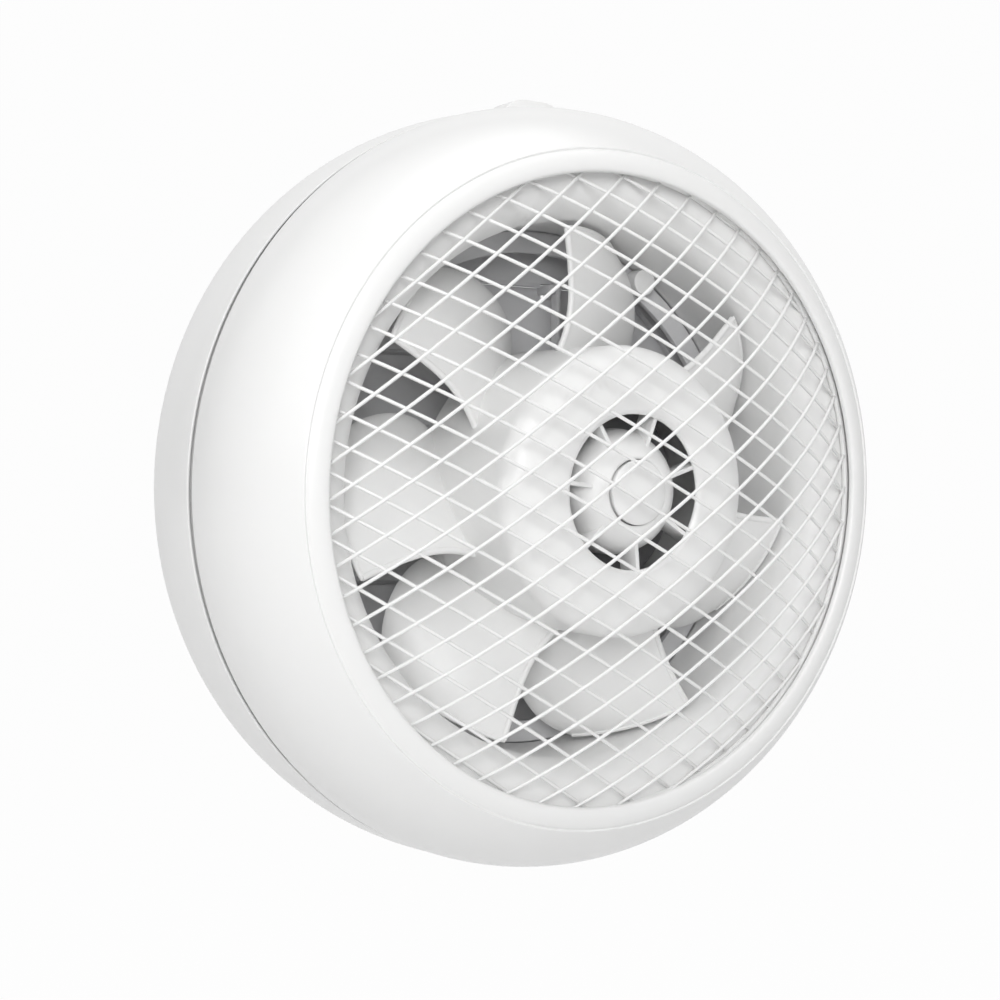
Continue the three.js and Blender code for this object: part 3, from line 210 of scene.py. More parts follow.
def painted_steel(name, colour):
    """Pressed sheet with a thin dark paint that shows a slight orange peel."""
    finish = Finish(name, colour, 0.42, metallic=0.35)
    peel = finish.noise(scale=700.0)
    patch = finish.noise(scale=40.0, detail=3.0)
    finish.toned(patch, 0.85, 1.25)
    finish.set("Roughness", 0.34 + patch * 0.16)
    finish.bumped(peel, 0.05)
    return finish


def plated_steel(name, colour):
    """Zinc-plated steel, with fine turning lines and a mottled bloom."""
    finish = Finish(name, colour, 0.35, metallic=1.0)
    bloom = finish.noise(scale=300.0, detail=3.0)
    lines = finish.noise(scale=1.0, at=finish.stretched(300.0, 9000.0, 300.0))
    finish.toned(bloom, 0.82, 1.1)
    finish.set("Roughness", 0.24 + bloom * 0.2)
    finish.bumped(lines, 0.02)
    return finish


def stacked_laminations(name, colour):
    """Thin steel sheets on edge, stacked along the axis."""
    finish = Finish(name, colour, 0.5, metallic=0.8)
    sheets = finish.node(
        "ShaderNodeTexWave", {"bands_direction": "Y"},
        {"Vector": finish.place(), "Scale": 320.0, "Distortion": 0.0},
    )
    finish.toned(sheets, 0.55, 1.2)
    finish.set("Roughness", 0.42 + sheets * 0.2)
    finish.bumped(sheets, 0.12)
    return finish


def enamelled_copper(name, colour):
    """Wound copper wire under a clear enamel."""
    finish = Finish(name, colour, 0.35, metallic=0.9, coat=0.4)
    strands = finish.node(
        "ShaderNodeTexWave", {"wave_type": "RINGS", "rings_direction": "Y"},
        {"Vector": finish.place(), "Scale": 260.0, "Distortion": 3.0, "Detail": 2.0},
    )
    finish.toned(strands, 0.5, 1.25)
    finish.set("Roughness", 0.28 + strands * 0.2)
    finish.bumped(strands, 0.2)
    return finish


SHELL_WHITE = (0.88, 0.88, 0.875)
WIRE_WHITE = (0.9, 0.9, 0.895)
INNER_WHITE = (0.91, 0.91, 0.905)
FLAP_GREY = (0.76, 0.76, 0.77)
FOAM_GREY = (0.3, 0.31, 0.31)
MOTOR_GREY = (0.32, 0.322, 0.33)
SHEET_GREY = (0.2, 0.2, 0.21)
COPPER = (0.55, 0.25, 0.12)
ZINC = (0.6, 0.61, 0.62)
SOFT_BLACK = (0.04, 0.04, 0.042)

finishes = {
    "white_shell": moulded_plastic(
        "white_shell", SHELL_WHITE, roughness=0.34, texture=0.02, coat=0.15
    ),
    "white_wire": coated_wire("white_wire", WIRE_WHITE),
    "white_frame": moulded_plastic("white_frame", INNER_WHITE, roughness=0.42, texture=0.03),
    "white_blade": moulded_plastic(
        "white_blade", INNER_WHITE, roughness=0.36, texture=0.02, coat=0.1
    ),
    "grey_flap": moulded_plastic("grey_flap", FLAP_GREY, roughness=0.5, texture=0.04),
    "gasket": foam_rubber("gasket", FOAM_GREY),
    "dark_motor": painted_steel("dark_motor", MOTOR_GREY),
    "laminations": stacked_laminations("laminations", SHEET_GREY),
    "copper": enamelled_copper("copper", COPPER),
    "steel": plated_steel("steel", ZINC),
    "black_plastic": moulded_plastic("black_plastic", SOFT_BLACK, roughness=0.45, texture=0.03),
}

# every CAD node keeps its record's slot, under a finish that has detail
for entry in frame["record"]["subparts"]:
    node = frame["nodes"][entry["node"]]
    node.data.materials.clear()
    node.data.materials.append(finishes[entry["material_slot"]].material)

# ---------------------------------------------------------------- shapes

FULL_TURN = 360.0
ROUND_SIDES = 180
FINE_SIDES = 240
SMALL_SIDES = 120
TINY = 1e-6
SHARP_TURN = math.radians(14)
ROUNDING_STEPS = 3
LONGEST_CUT = 0.45


class Shape:
    """Corners in millimetres and the faces between them."""

    def __init__(self, corners=(), faces=()):
        self.corners = [Vector(corner) for corner in corners]
        self.faces = [tuple(face) for face in faces]

    def __add__(self, other):
        first = len(self.corners)
        moved_faces = [tuple(index + first for index in face) for face in other.faces]
        return Shape(self.corners + other.corners, self.faces + moved_faces)

    def moved(self, matrix):
        """The shape after a transform."""
        return Shape([matrix @ corner for corner in self.corners], self.faces)

    def at(self, x, y, z):
        """The shape moved to a place."""
        return self.moved(Matrix.Translation((x, y, z)))

    def spun(self, angle):
        """The shape turned about the fan's axis, anticlockwise as the room sees it."""
        return self.moved(Matrix.Rotation(-math.radians(angle), 4, "Y"))

    def around(self, count, start=0.0):
        """Copies spread evenly round the fan's axis."""
        return joined(self.spun(start + FULL_TURN * i / count) for i in range(count))


def joined(shapes):
    """Several shapes as one."""
    total = Shape()
    for shape in shapes:
        total = total + shape
    return total


def bezier(p0, p1, p2, p3, steps):
    """Points along a cubic curve."""
    points = []
    for i in range(steps + 1):
        t = i / steps
        weights = ((1 - t) ** 3, 3 * t * (1 - t) ** 2, 3 * t * t * (1 - t), t ** 3)
        points.append(tuple(
            sum(weight * point[axis] for weight, point in zip(weights, (p0, p1, p2, p3)))
            for axis in range(len(p0))
        ))
    return points


def softened(outline, radius, closed=True):
    """An outline with its sharp corners rounded."""
    points = [Vector(point) for point in outline]
    result = []
    for i, corner in enumerate(points):
        before = points[i - 1] - corner
        after = points[(i + 1) % len(points)] - corner
        loose_end = not closed and i in (0, len(points) - 1)
        if loose_end or math.pi - before.angle(after, math.pi) < SHARP_TURN:
            result.append(tuple(corner))
            continue
        cut = min(radius, LONGEST_CUT * before.length, LONGEST_CUT * after.length)
        start = corner + before.normalized() * cut
        end = corner + after.normalized() * cut
        for k in range(ROUNDING_STEPS + 1):
            t = k / ROUNDING_STEPS
            result.append(tuple(
                start * (1 - t) ** 2 + corner * 2 * t * (1 - t) + end * t * t
            ))
    return result


def swept(profile, sides=ROUND_SIDES):
    """The corners of a profile of (radius, y) points, at every step round the fan's axis."""
    corners = []
    for i in range(sides):
        angle = 2 * math.pi * i / sides
        corners += [(r * math.cos(angle), y, r * math.sin(angle)) for r, y in profile]
    return corners


def turned(outline, sides=ROUND_SIDES, soft=0.35):
    """A closed outline of (radius, y) points turned about the fan's axis."""
    profile = softened(outline, soft)
    area = sum(
        a[0] * b[1] - b[0] * a[1] for a, b in zip(profile, profile[1:] + profile[:1])
    )
    if area < 0:
        profile.reverse()
    count = len(profile)
    faces = []
    for i in range(sides):
        here, there = i * count, ((i + 1) % sides) * count
        for k in range(count):
            after = (k + 1) % count
            faces.append((here + k, there + k, there + after, here + after))
    return Shape(swept(profile, sides), faces)


def capped(outline, sides, soft=0.35):
    """An open outline from axis to axis turned about the fan's axis."""
    profile = softened(outline, soft, closed=False)
    inner = profile[1:-1]
    count = len(inner)
    corners = swept(inner, sides) + [(0, profile[0][1], 0), (0, profile[-1][1], 0)]
    first, last = sides * count, sides * count + 1
    faces = []
    outward = profile[-1][1] > profile[0][1]
    for i in range(sides):
        here, there = i * count, ((i + 1) % sides) * count
        loop = [(here + k, there + k, there + k + 1, here + k + 1) for k in range(count - 1)]
        loop += [(first, there, here), (here + count - 1, there + count - 1, last)]
        faces += loop if outward else [tuple(reversed(face)) for face in loop]
    return Shape(corners, faces)


def flat_ring(inner, outer, front, rear, sides=ROUND_SIDES, soft=0.4):
    """A flat ring round the fan's axis, with rounded edges."""
    return turned([(inner, front), (outer, front), (outer, rear), (inner, rear)], sides, soft)


def taken(work):
    """The shape that a working mesh holds."""
    work.verts.index_update()
    shape = Shape(
        [corner.co.copy() for corner in work.verts],
        [tuple(corner.index for corner in face.verts) for face in work.faces],
    )
    work.free()
    return shape


def block(low, high, soft=0.4, steps=2):
    """A box with rounded edges."""
    work = bmesh.new()
    bmesh.ops.create_cube(work, size=1.0)
    middle = [(a + b) / 2 for a, b in zip(low, high)]
    size = [b - a for a, b in zip(low, high)]
    for corner in work.verts:
        corner.co = Vector(m + c * s for m, c, s in zip(middle, corner.co, size))
    if soft:
        bmesh.ops.bevel(
            work, geom=work.edges[:], offset=min(soft, min(size) * LONGEST_CUT),
            segments=steps, affect="EDGES", profile=0.5,
        )
    return taken(work)


def plate(outline, front, rear, soft=0.3):
    """A flat plate whose outline lies in X and Z, with rounded rims."""
    work = bmesh.new()
    face = work.faces.new([work.verts.new((x, front, z)) for x, z in outline])
    pushed = bmesh.ops.extrude_face_region(work, geom=[face])
    for item in pushed["geom"]:
        if isinstance(item, bmesh.types.BMVert):
            item.co.y = rear
    bmesh.ops.recalc_face_normals(work, faces=work.faces[:])
    rims = [
        edge for edge in work.edges if abs(edge.verts[0].co.y - edge.verts[1].co.y) < TINY
    ]
    bmesh.ops.bevel(work, geom=rims, offset=soft, segments=2, affect="EDGES", profile=0.5)
    return taken(work)


def rod(path, radius, sides=8, closed=False):
    """A round wire along a path."""
    points = [Vector(point) for point in path]
    count = len(points)
    corners = []
    for i, point in enumerate(points):
        before = points[i - 1] if closed or i else point
        after = points[(i + 1) % count] if closed or i < count - 1 else point
        along = (after - before).normalized()
        side = along.cross(Vector((0, 1, 0)))
        side = side.normalized() if side.length > TINY else Vector((1, 0, 0))
        over = side.cross(along)
        for k in range(sides):
            angle = 2 * math.pi * k / sides
            corners.append(
                point + side * radius * math.cos(angle) + over * radius * math.sin(angle)
            )
    faces = []
    for i in range(count if closed else count - 1):
        here, there = i * sides, ((i + 1) % count) * sides
        for k in range(sides):
            after = (k + 1) % sides
            faces.append((here + k, here + after, there + after, there + k))
    if not closed:
        faces.append(tuple(range(sides)))
        faces.append(tuple(reversed(range((count - 1) * sides, count * sides))))
    return Shape(corners, faces)


def bar_x(radius, left, right, y, z):
    """A round pin along X."""
    pin = capped([(0, left), (radius, left), (radius, right), (0, right)], sides=24, soft=0.25)
    return pin.moved(Matrix.Translation((0, y, z)) @ Matrix.Rotation(-math.pi / 2, 4, "Z"))


def bar_y(radius, front, rear, x):
    """A round post along Y, at a distance from the fan's axis."""
    post = capped([(0, front), (radius, front), (radius, rear), (0, rear)], sides=32, soft=0.3)
    return post.at(x, 0, 0)


def half_chord(radius, height):
    """Half the width of a circle at a height."""
    return math.sqrt(max(radius ** 2 - height ** 2, 0.0))


def piece(name, shape, slot, body, *nodes, crease=38.0):
    """One piece of the object: it stands for CAD nodes and moves with a CAD body."""
    mesh = bpy.data.meshes.new(name)
    mesh.from_pydata([corner * MM for corner in shape.corners], [], shape.faces)
    mesh.materials.append(finishes[slot].material)
    work = bmesh.new()
    work.from_mesh(mesh)
    bmesh.ops.recalc_face_normals(work, faces=work.faces[:])
    work.to_mesh(mesh)
    work.free()
    for polygon in mesh.polygons:
        polygon.use_smooth = True
    mesh.set_sharp_from_angle(angle=math.radians(crease))
    thing = bpy.data.objects.new(name, mesh)
    bpy.context.scene.collection.objects.link(thing)
    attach(thing, body)
    if nodes:
        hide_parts(*nodes)
    return thing


# ---------------------------------------------------------------- sizes shared with the CAD model

PANE_FACE = 2.1
SHELL_EDGE = 2.25
SHELL_RADIUS = 157.3
SHELL_WALL = 2.5
SHELL_CREASE = 50.0
RIM_Y = -51.45
RIM_RADIUS = 125.0
HOOP_RADIUS = 127.5
HOOP_MIDDLE = -46.35
BELL_FRONT = -44.75
BELL_REAR = -27.05
BELL_RADIUS = 126.0
BELL_FLANGE_RADIUS = 133.5
THROAT_RADIUS = 108.8
DUCT_WALL = 2.2
DUCT_RADIUS = THROAT_RADIUS + DUCT_WALL
DUCT_REAR = 9.0
FLANGE_RADIUS = 148.5
FLANGE_NEAR = 5.1
FLANGE_FAR = 8.1
GASKET_INNER = 131.0
GASKET_OUTER = 147.0
COLLAR_INNER = 112.5
COLLAR_OUTER = 115.0
COLLAR_REAR = 24.0
SEAT_GAP = 0.3
OVERLAP = 0.5
CLAMP_CIRCLE = 121.5
SHUTTER_CIRCLE = 117.0
PILLAR_CIRCLE = 127.5
SPIDER_CIRCLE = 104.0
MOTOR_SCREW_CIRCLE = 30.0
CORNER_COUNT = 4
DIAGONAL = 45.0
ARM_COUNT = 3
SPIDER_START = 180.0

# ---------------------------------------------------------------- room-side cover

GROOVE_RADIUS = 134.6
GROOVE_WIDTH = 1.4
GROOVE_DEPTH = 0.5
SHOULDER_FRONT = -51.85
SHOULDER_REAR_PULL = -24.05
SHOULDER_FRONT_PULL = (148.5, -40.05)
LIP_BULGE = 2.4
LIP_CREST = 2.4
LIP_CREST_PULL = 1.7
LIP_FOOT = 0.7
LIP_FOOT_PULL = (1.6, 1.7)
LIP_RIM_PULL = 1.9
LIP_BACK = -50.05
LIP_THICKNESS = 1.4
SEAT_RADIUS = HOOP_RADIUS + 1.5 + SEAT_GAP
SEAT_REAR = BELL_FRONT - SEAT_GAP
SEAT_FOOT = 2.0
HOOK = ((147.3, -4.8, -7.0), (155.6, -3.3, 7.0))
PRESS_PAD = ((128.0, -50.3, -4.0), (129.9, -47.95, 4.0))
PRESS_PAD_COUNT = 6


def cover_shoulder(wall, steps):
    """The shoulder of the room cover from its rear edge to the groove, moved in by a wall."""
    pull_radius, pull_y = SHOULDER_FRONT_PULL
    return bezier(
        (SHELL_RADIUS - wall, -SHELL_EDGE), (SHELL_RADIUS - wall, SHOULDER_REAR_PULL),
        (pull_radius - wall, pull_y + wall),
        (GROOVE_RADIUS - wall / 2, SHOULDER_FRONT + wall), steps,
    )


def rolled_lip():
    """The lip between the groove and the rim, which stands highest near its inner edge."""
    groove_edge = GROOVE_RADIUS - GROOVE_WIDTH
    inward, forward = LIP_FOOT_PULL
    crest = RIM_RADIUS + LIP_CREST
    top = RIM_Y - LIP_BULGE
    outer = bezier(
        (groove_edge, RIM_Y - LIP_FOOT), (groove_edge - inward, RIM_Y - forward),
        (crest + LIP_CREST_PULL, top), (crest, top), 10,
    )
    inner = bezier(
        (crest, top), (crest - LIP_CREST_PULL, top),
        (RIM_RADIUS, RIM_Y - LIP_RIM_PULL), (RIM_RADIUS, RIM_Y), 10,
    )
    return outer + inner[1:]


room_cover = turned(
    cover_shoulder(0.0, 40)
    + [(GROOVE_RADIUS - GROOVE_WIDTH / 2, SHOULDER_FRONT + GROOVE_DEPTH)]
    + rolled_lip()
    + [(RIM_RADIUS + LIP_THICKNESS, LIP_BACK), (SEAT_RADIUS, LIP_BACK),
       (SEAT_RADIUS, SEAT_REAR), (SEAT_RADIUS + SEAT_FOOT, SEAT_REAR)]
    + cover_shoulder(SHELL_WALL, 24)[::-1],
    FINE_SIDES, soft=0.3,
)
hooks = block(*HOOK, soft=0.5).around(CORNER_COUNT, DIAGONAL)
press_pads = block(*PRESS_PAD, soft=0.3).around(PRESS_PAD_COUNT)
piece(
    "room_cover", room_cover + hooks + press_pads, "white_shell", "housing", "front_cover",
    crease=SHELL_CREASE,
)

# ---------------------------------------------------------------- wire guard

WIRE_RADIUS = 0.72
HOOP_WIRE_RADIUS = 1.3
FRONT_SETBACK = 0.14
REAR_SETBACK = 1.25
GUARD_RISE = 34.0
DOME_POWER = 2.5
GUARD_BOW = 0.027
WIRE_STEP = 3.0
EDGE_MARGIN = 1.0
OVERREACH = 1.1
RISING = {
    "direction": 34.9, "drift": -2.5, "swing": 3.4, "pitch": 11.94, "growth": 0.037, "phase": 9.6,
}
FALLING = {
    "direction": 153.9, "drift": 3.4, "swing": -4.25, "pitch": 11.85, "growth": 0.012, "phase": 6.4,
}


def guard_y(radius):
    """Depth of the guard's dome at a distance from the axis."""
    return HOOP_MIDDLE - GUARD_RISE * (1 - (min(radius, HOOP_RADIUS) / HOOP_RADIUS) ** DOME_POWER)


def guard_wires(family, setback):
    """One family of the guard's wires, set back from the front of the dome."""
    wires = []
    reach = math.ceil(HOOP_RADIUS * OVERREACH / family["pitch"])
    square = math.radians(family["direction"] - 90)
    for index in range(-reach, reach + 1):
        offset = family["phase"] + family["pitch"] * index + family["growth"] * index ** 2
        share = offset / RIM_RADIUS
        heading = math.radians(
            family["direction"] + family["drift"] * share + family["swing"] * share ** 2
        )
        along = Vector((math.cos(heading), math.sin(heading)))
        point = Vector((math.cos(square), math.sin(square))) * offset
        middle = -point.dot(along)
        nearest = (point + along * middle).length
        if nearest > HOOP_RADIUS - EDGE_MARGIN:
            continue
        half = math.sqrt(HOOP_RADIUS ** 2 - nearest ** 2)
        steps = max(6, round(half / WIRE_STEP))
        path = []
        for i in range(steps + 1):
            plan = point + along * (middle - half + 2 * half * i / steps)
            plan = plan * (1 + GUARD_BOW * (1 - (plan.length / HOOP_RADIUS) ** 2))
            path.append((plan.x, guard_y(plan.length) + setback, plan.y))
        wires.append(rod(path, WIRE_RADIUS))
    return joined(wires)


hoop = rod(swept([(HOOP_RADIUS, HOOP_MIDDLE)]), HOOP_WIRE_RADIUS, 12, closed=True)
net = guard_wires(RISING, FRONT_SETBACK) + guard_wires(FALLING, REAR_SETBACK)
piece("guard_wires", net + hoop, "white_wire", "housing", "guard_grille", crease=80.0)

# ---------------------------------------------------------------- inner frame, gaskets, outer frame

FIXING_LUG = ((109.9, -11.4, -6.0), (127.0, -8.4, 6.0))
SPIDER_BOSS_RADIUS = 5.5
SPIDER_BOSS_FRONT = 1.0
PILLAR_RADIUS = 4.6
PILLAR_REAR = 59.75
SHUTTER_BOSS_RADIUS = 3.8
SHUTTER_BOSS_FRONT = 15.0


def bell_flare(wall, step):
    """The flare from the rim into the duct, a quarter of an ellipse, moved out by a wall."""
    radial = BELL_RADIUS - THROAT_RADIUS - wall
    axial = BELL_REAR - BELL_FRONT - wall
    return [
        (BELL_RADIUS - radial * math.sin(math.radians(angle)),
         BELL_REAR - axial * math.cos(math.radians(angle)))
        for angle in range(0, 91, step)
    ]


bell_mouth = turned(
    [(BELL_FLANGE_RADIUS, BELL_FRONT)] + bell_flare(0.0, 5)
    + [(THROAT_RADIUS, DUCT_REAR), (DUCT_RADIUS, DUCT_REAR)]
    + bell_flare(DUCT_WALL, 10)[::-1] + [(BELL_FLANGE_RADIUS, BELL_FRONT + DUCT_WALL)],
    220, soft=0.4,
)
fixing_lugs = block(*FIXING_LUG, soft=0.6).around(CORNER_COUNT, DIAGONAL)
spider_bosses = bar_y(
    SPIDER_BOSS_RADIUS, SPIDER_BOSS_FRONT, DUCT_REAR, SPIDER_CIRCLE
).around(ARM_COUNT, SPIDER_START)
piece(
    "bell_mouth", bell_mouth + fixing_lugs + spider_bosses, "white_frame", "housing",
    "inner_frame",
)
piece(
    "clamping_flange",
    flat_ring(DUCT_RADIUS + SEAT_GAP, FLANGE_RADIUS, -FLANGE_FAR, -FLANGE_NEAR, soft=0.5),
    "white_frame", "housing", "inner_flange",
)

for side, node in ((-1, "inner_gasket"), (1, "outer_gasket")):
    piece(
        f"foam_{node}",
        flat_ring(GASKET_INNER, GASKET_OUTER, side * PANE_FACE, side * FLANGE_NEAR, soft=0.6),
        "gasket", "housing", node,
    )

outdoor_ring = turned(
    [(COLLAR_INNER, FLANGE_NEAR), (FLANGE_RADIUS, FLANGE_NEAR), (FLANGE_RADIUS, FLANGE_FAR),
     (COLLAR_OUTER, FLANGE_FAR), (COLLAR_OUTER, COLLAR_REAR), (COLLAR_INNER, COLLAR_REAR)],
    soft=0.4,
)
pillars = bar_y(
    PILLAR_RADIUS, FLANGE_FAR - OVERLAP, PILLAR_REAR, PILLAR_CIRCLE
).around(CORNER_COUNT)
shutter_bosses = bar_y(
    SHUTTER_BOSS_RADIUS, SHUTTER_BOSS_FRONT, COLLAR_REAR, SHUTTER_CIRCLE
).around(CORNER_COUNT, DIAGONAL)
piece(
    "outdoor_flange", outdoor_ring + pillars + shutter_bosses, "white_frame", "housing",
    "outer_frame",
)

# ---------------------------------------------------------------- outdoor cover and its grille

FLANK_PULLS = ((160.3, 22.03), (160.0, 52.01))
FLANK_END = (138.0, 66.05)
FLANK_INSIDE_START = 7.0
FLANK_INSIDE_PULLS = ((157.8, 24.0), (157.2, 51.0))
FLANK_INSIDE_END = (137.0, 63.8)
REAR_ROLL = [(136.9, 66.9), (135.8, 67.5), (134.9, 67.2), (134.0, 66.3)]
GRILLE_SEAT = [(134.0, 62.55), (121.0, 62.55), (121.0, 60.05), (133.0, 60.05)]
EDGE_WALL = 1.0
LEDGE_Y = 3.9
LEDGE_RADIUS = 154.0
LEDGE_REAR = 8.4
LUG_HALF = 15.0
LUG_FOOT = 158.0
LUG_ROOT = 1.2
LUG_RISE = 6.2
LUG_FULLNESS = 3.9
LUG_FRONT, LUG_REAR = 12.0, 26.0
LUG_STEPS = 36

flank = bezier((SHELL_RADIUS, SHELL_EDGE), *FLANK_PULLS, FLANK_END, 48)
flank_inside = bezier(
    (SHELL_RADIUS - SHELL_WALL, SHELL_EDGE + FLANK_INSIDE_START), *FLANK_INSIDE_PULLS,
    FLANK_INSIDE_END, 30,
)
rear_shell = turned(
    flank + REAR_ROLL + GRILLE_SEAT + flank_inside[::-1]
    + [(LEDGE_RADIUS, LEDGE_REAR), (LEDGE_RADIUS, LEDGE_Y),
       (SHELL_RADIUS - EDGE_WALL, LEDGE_Y), (SHELL_RADIUS - EDGE_WALL, SHELL_EDGE)],
    FINE_SIDES, soft=0.35,
)


def top_lug():
    """A low crown on top of the outdoor shell that fades into its side."""
    crown = []
    for i in range(LUG_STEPS + 1):
        share = 1 - 2 * i / LUG_STEPS
        rise = LUG_RISE * (1 - abs(share) ** LUG_FULLNESS)
        crown.append((LUG_HALF * share, LUG_FOOT + rise))
    low = LUG_FOOT - LUG_ROOT
    return plate(crown + [(-LUG_HALF, low), (LUG_HALF, low)], LUG_FRONT, LUG_REAR, 0.3)


piece(
    "rear_shell", rear_shell + top_lug(), "white_shell", "housing", "rear_cover",
    crease=SHELL_CREASE,
)

SPIGOT_FRONT = 60.35
SPIGOT_RADIUS = 120.4
GRILLE_FRONT = 62.85
GRILLE_REAR = 65.85
GRILLE_INNER = 118.0
GRILLE_OUTER = 133.7
LOUVRE_COUNT = 9
LOUVRE_TILT = 35.0
LOUVRE_SPAN = 242.0
LOUVRE_DEPTH_HALF = 4.5
LOUVRE_THICKNESS_HALF = 0.9
BAR_END_RADIUS = 119.2
GRILLE_RIB_HALF = 1.2
GRILLE_RIB_PLACES = (-42.35, 42.35)

grille_rim = turned(
    [(GRILLE_INNER, SPIGOT_FRONT), (SPIGOT_RADIUS, SPIGOT_FRONT), (SPIGOT_RADIUS, GRILLE_FRONT),
     (GRILLE_OUTER, GRILLE_FRONT), (GRILLE_OUTER, GRILLE_REAR), (GRILLE_INNER, GRILLE_REAR)],
    soft=0.5,
)


def louvre(index):
    """One tilted slat, rounded along its edges and cut to the rim at its ends."""
    pitch = LOUVRE_SPAN / (LOUVRE_COUNT + 1)
    height = pitch * (index - (LOUVRE_COUNT - 1) / 2)
    slat_middle = (SPIGOT_FRONT + GRILLE_REAR) / 2
    deep, thick = LOUVRE_DEPTH_HALF, LOUVRE_THICKNESS_HALF
    section = softened([(-deep, -thick), (deep, -thick), (deep, thick), (-deep, thick)], 0.7)
    tilt = math.radians(-LOUVRE_TILT)
    ends = []
    for side in (-1, 1):
        for u, v in section:
            y = slat_middle + u * math.cos(tilt) - v * math.sin(tilt)
            z = height + u * math.sin(tilt) + v * math.cos(tilt)
            ends.append((side * half_chord(BAR_END_RADIUS, z), y, z))
    count = len(section)
    faces = [
        (k, (k + 1) % count, count + (k + 1) % count, count + k) for k in range(count)
    ]
    return Shape(ends, faces + [tuple(range(count)), tuple(range(count, 2 * count))])


def grille_rib(x):
    """An upright rib that joins the louvres."""
    half = half_chord(BAR_END_RADIUS, abs(x) + GRILLE_RIB_HALF)
    return block(
        (x - GRILLE_RIB_HALF, GRILLE_FRONT, -half), (x + GRILLE_RIB_HALF, GRILLE_REAR, half)
    )


piece(
    "louvred_grille",
    grille_rim + joined(louvre(i) for i in range(LOUVRE_COUNT))
    + joined(grille_rib(x) for x in GRILLE_RIB_PLACES),
    "white_shell", "housing", "weather_grille",
)

# ---------------------------------------------------------------- impeller

BLADE_COUNT = 7
FIRST_BLADE = 44.5
HUB_RADIUS = 57.5
HUB_INSIDE = 54.5
HUB_FRONT = -66.8
HUB_REAR = 4.0
HUB_SIDE_FRONT = -55.8
HUB_FACE_RADIUS = 38.4
HUB_FACE_PULL = 46.4
HUB_FACE_REAR = -63.8
HUB_FACE_INSIDE = 41.4
HUB_INSIDE_DROP = 11.0
BORE_RADIUS = 30.4
BORE_EDGE = [(32.0, HUB_FRONT + 0.5), (BORE_RADIUS, HUB_FRONT + 1.6)]
BOSS_RADIUS = 25.0
BOSS_FRONT = -67.0
BOSS_REAR = -38.0
BOSS_SHOULDER = ((BOSS_RADIUS, -50.0), (BOSS_RADIUS, -58.5), (21.25, -64.5), (14.0, BOSS_FRONT))
CAP_SEAT = [(13.0, -66.6), (13.0, -60.0)]
SHAFT_TUBE = [(4.3, -60.0), (4.3, -35.5), (9.0, -35.5), (9.0, -57.5)]
BOSS_INSIDE = [(20.0, -57.5), (22.5, -50.0), (22.5, BOSS_REAR)]
SPOKE = ((18.0, -64.2, -0.9), (40.0, -53.2, 0.9))
CAP_OUTLINE = [
    (0, -70.3), (3.0, -70.27), (6.0, -70.1), (9.0, -69.6), (11.6, -68.9), (12.7, -68.3),
    (12.7, -67.3), (12.3, -67.0), (12.3, -62.5), (0, -62.5),
]

hub_shoulder = bezier(
    (HUB_RADIUS, HUB_SIDE_FRONT), (HUB_RADIUS, HUB_FACE_REAR), (HUB_FACE_PULL, HUB_FRONT),
    (HUB_FACE_RADIUS, HUB_FRONT), 18,
)
hub = turned(
    [(HUB_RADIUS, HUB_REAR)] + hub_shoulder + BORE_EDGE
    + [(BORE_RADIUS, HUB_FACE_REAR), (HUB_FACE_INSIDE, HUB_FACE_REAR),
       (HUB_INSIDE, HUB_FACE_REAR + HUB_INSIDE_DROP), (HUB_INSIDE, HUB_REAR)],
    soft=0.6,
)
boss = turned(
    [(BOSS_RADIUS, BOSS_REAR)] + bezier(*BOSS_SHOULDER, 16) + CAP_SEAT + SHAFT_TUBE + BOSS_INSIDE,
    SMALL_SIDES,
)
spokes = block(*SPOKE).around(BLADE_COUNT, FIRST_BLADE - 180 / BLADE_COUNT)

TIP_RADIUS = 106.6
BLADE_ROOT = 1.5
BLADE_HALF = 1.1
BLADE_FRONT = -30.4
BLADE_ARCH = 3.0
ROOT_SPAN, SPAN_LOSS, TIP_CUT = 50.0, 20.0, 7.0
ROOT_LEAD, LEAD_DIP = 9.0, 1.5
ROOT_DEPTH, DEPTH_LOSS = 33.0, 5.0
STATIONS, CHORDS = 30, 18
STATION_CROWDING = 1.3
EDGE_SHARE, EDGE_FULLNESS = 0.25, 4.0
BEAD_RADIUS = 1.4
BEAD_STEPS = 24
BEAD_START, BEAD_LENGTH = 0.02, 0.96
BEAD_INSET = 0.012
TIP_BEAD_PLACE, TIP_BEAD_LENGTH = 0.985, 0.97


def blade_row(s):
    """Radius, angle spanned, lead, depth and slope of a blade at a share of its length."""
    inner = HUB_RADIUS - BLADE_ROOT
    radius = inner + (TIP_RADIUS - inner) * s
    span = ROOT_SPAN - SPAN_LOSS * s - TIP_CUT * s ** 6
    lead = ROOT_LEAD * (1 - s) ** 5 - LEAD_DIP * s * (1 - s)
    depth = ROOT_DEPTH - DEPTH_LOSS * s
    return radius, span, lead, depth, math.atan2(depth, math.radians(span) * radius)


def blade_point(row, t, offset):
    """A point of a blade at a share of its chord, moved off the middle of its sheet."""
    radius, span, lead, depth, slope = row
    arch = BLADE_ARCH * 4 * t * (1 - t)
    swing = (offset + arch) * math.sin(slope)
    angle = math.radians(FIRST_BLADE + lead - span * t) - swing / radius
    y = BLADE_FRONT + depth * t + (offset - arch) * math.cos(slope)
    return (radius * math.cos(angle), y, radius * math.sin(angle))


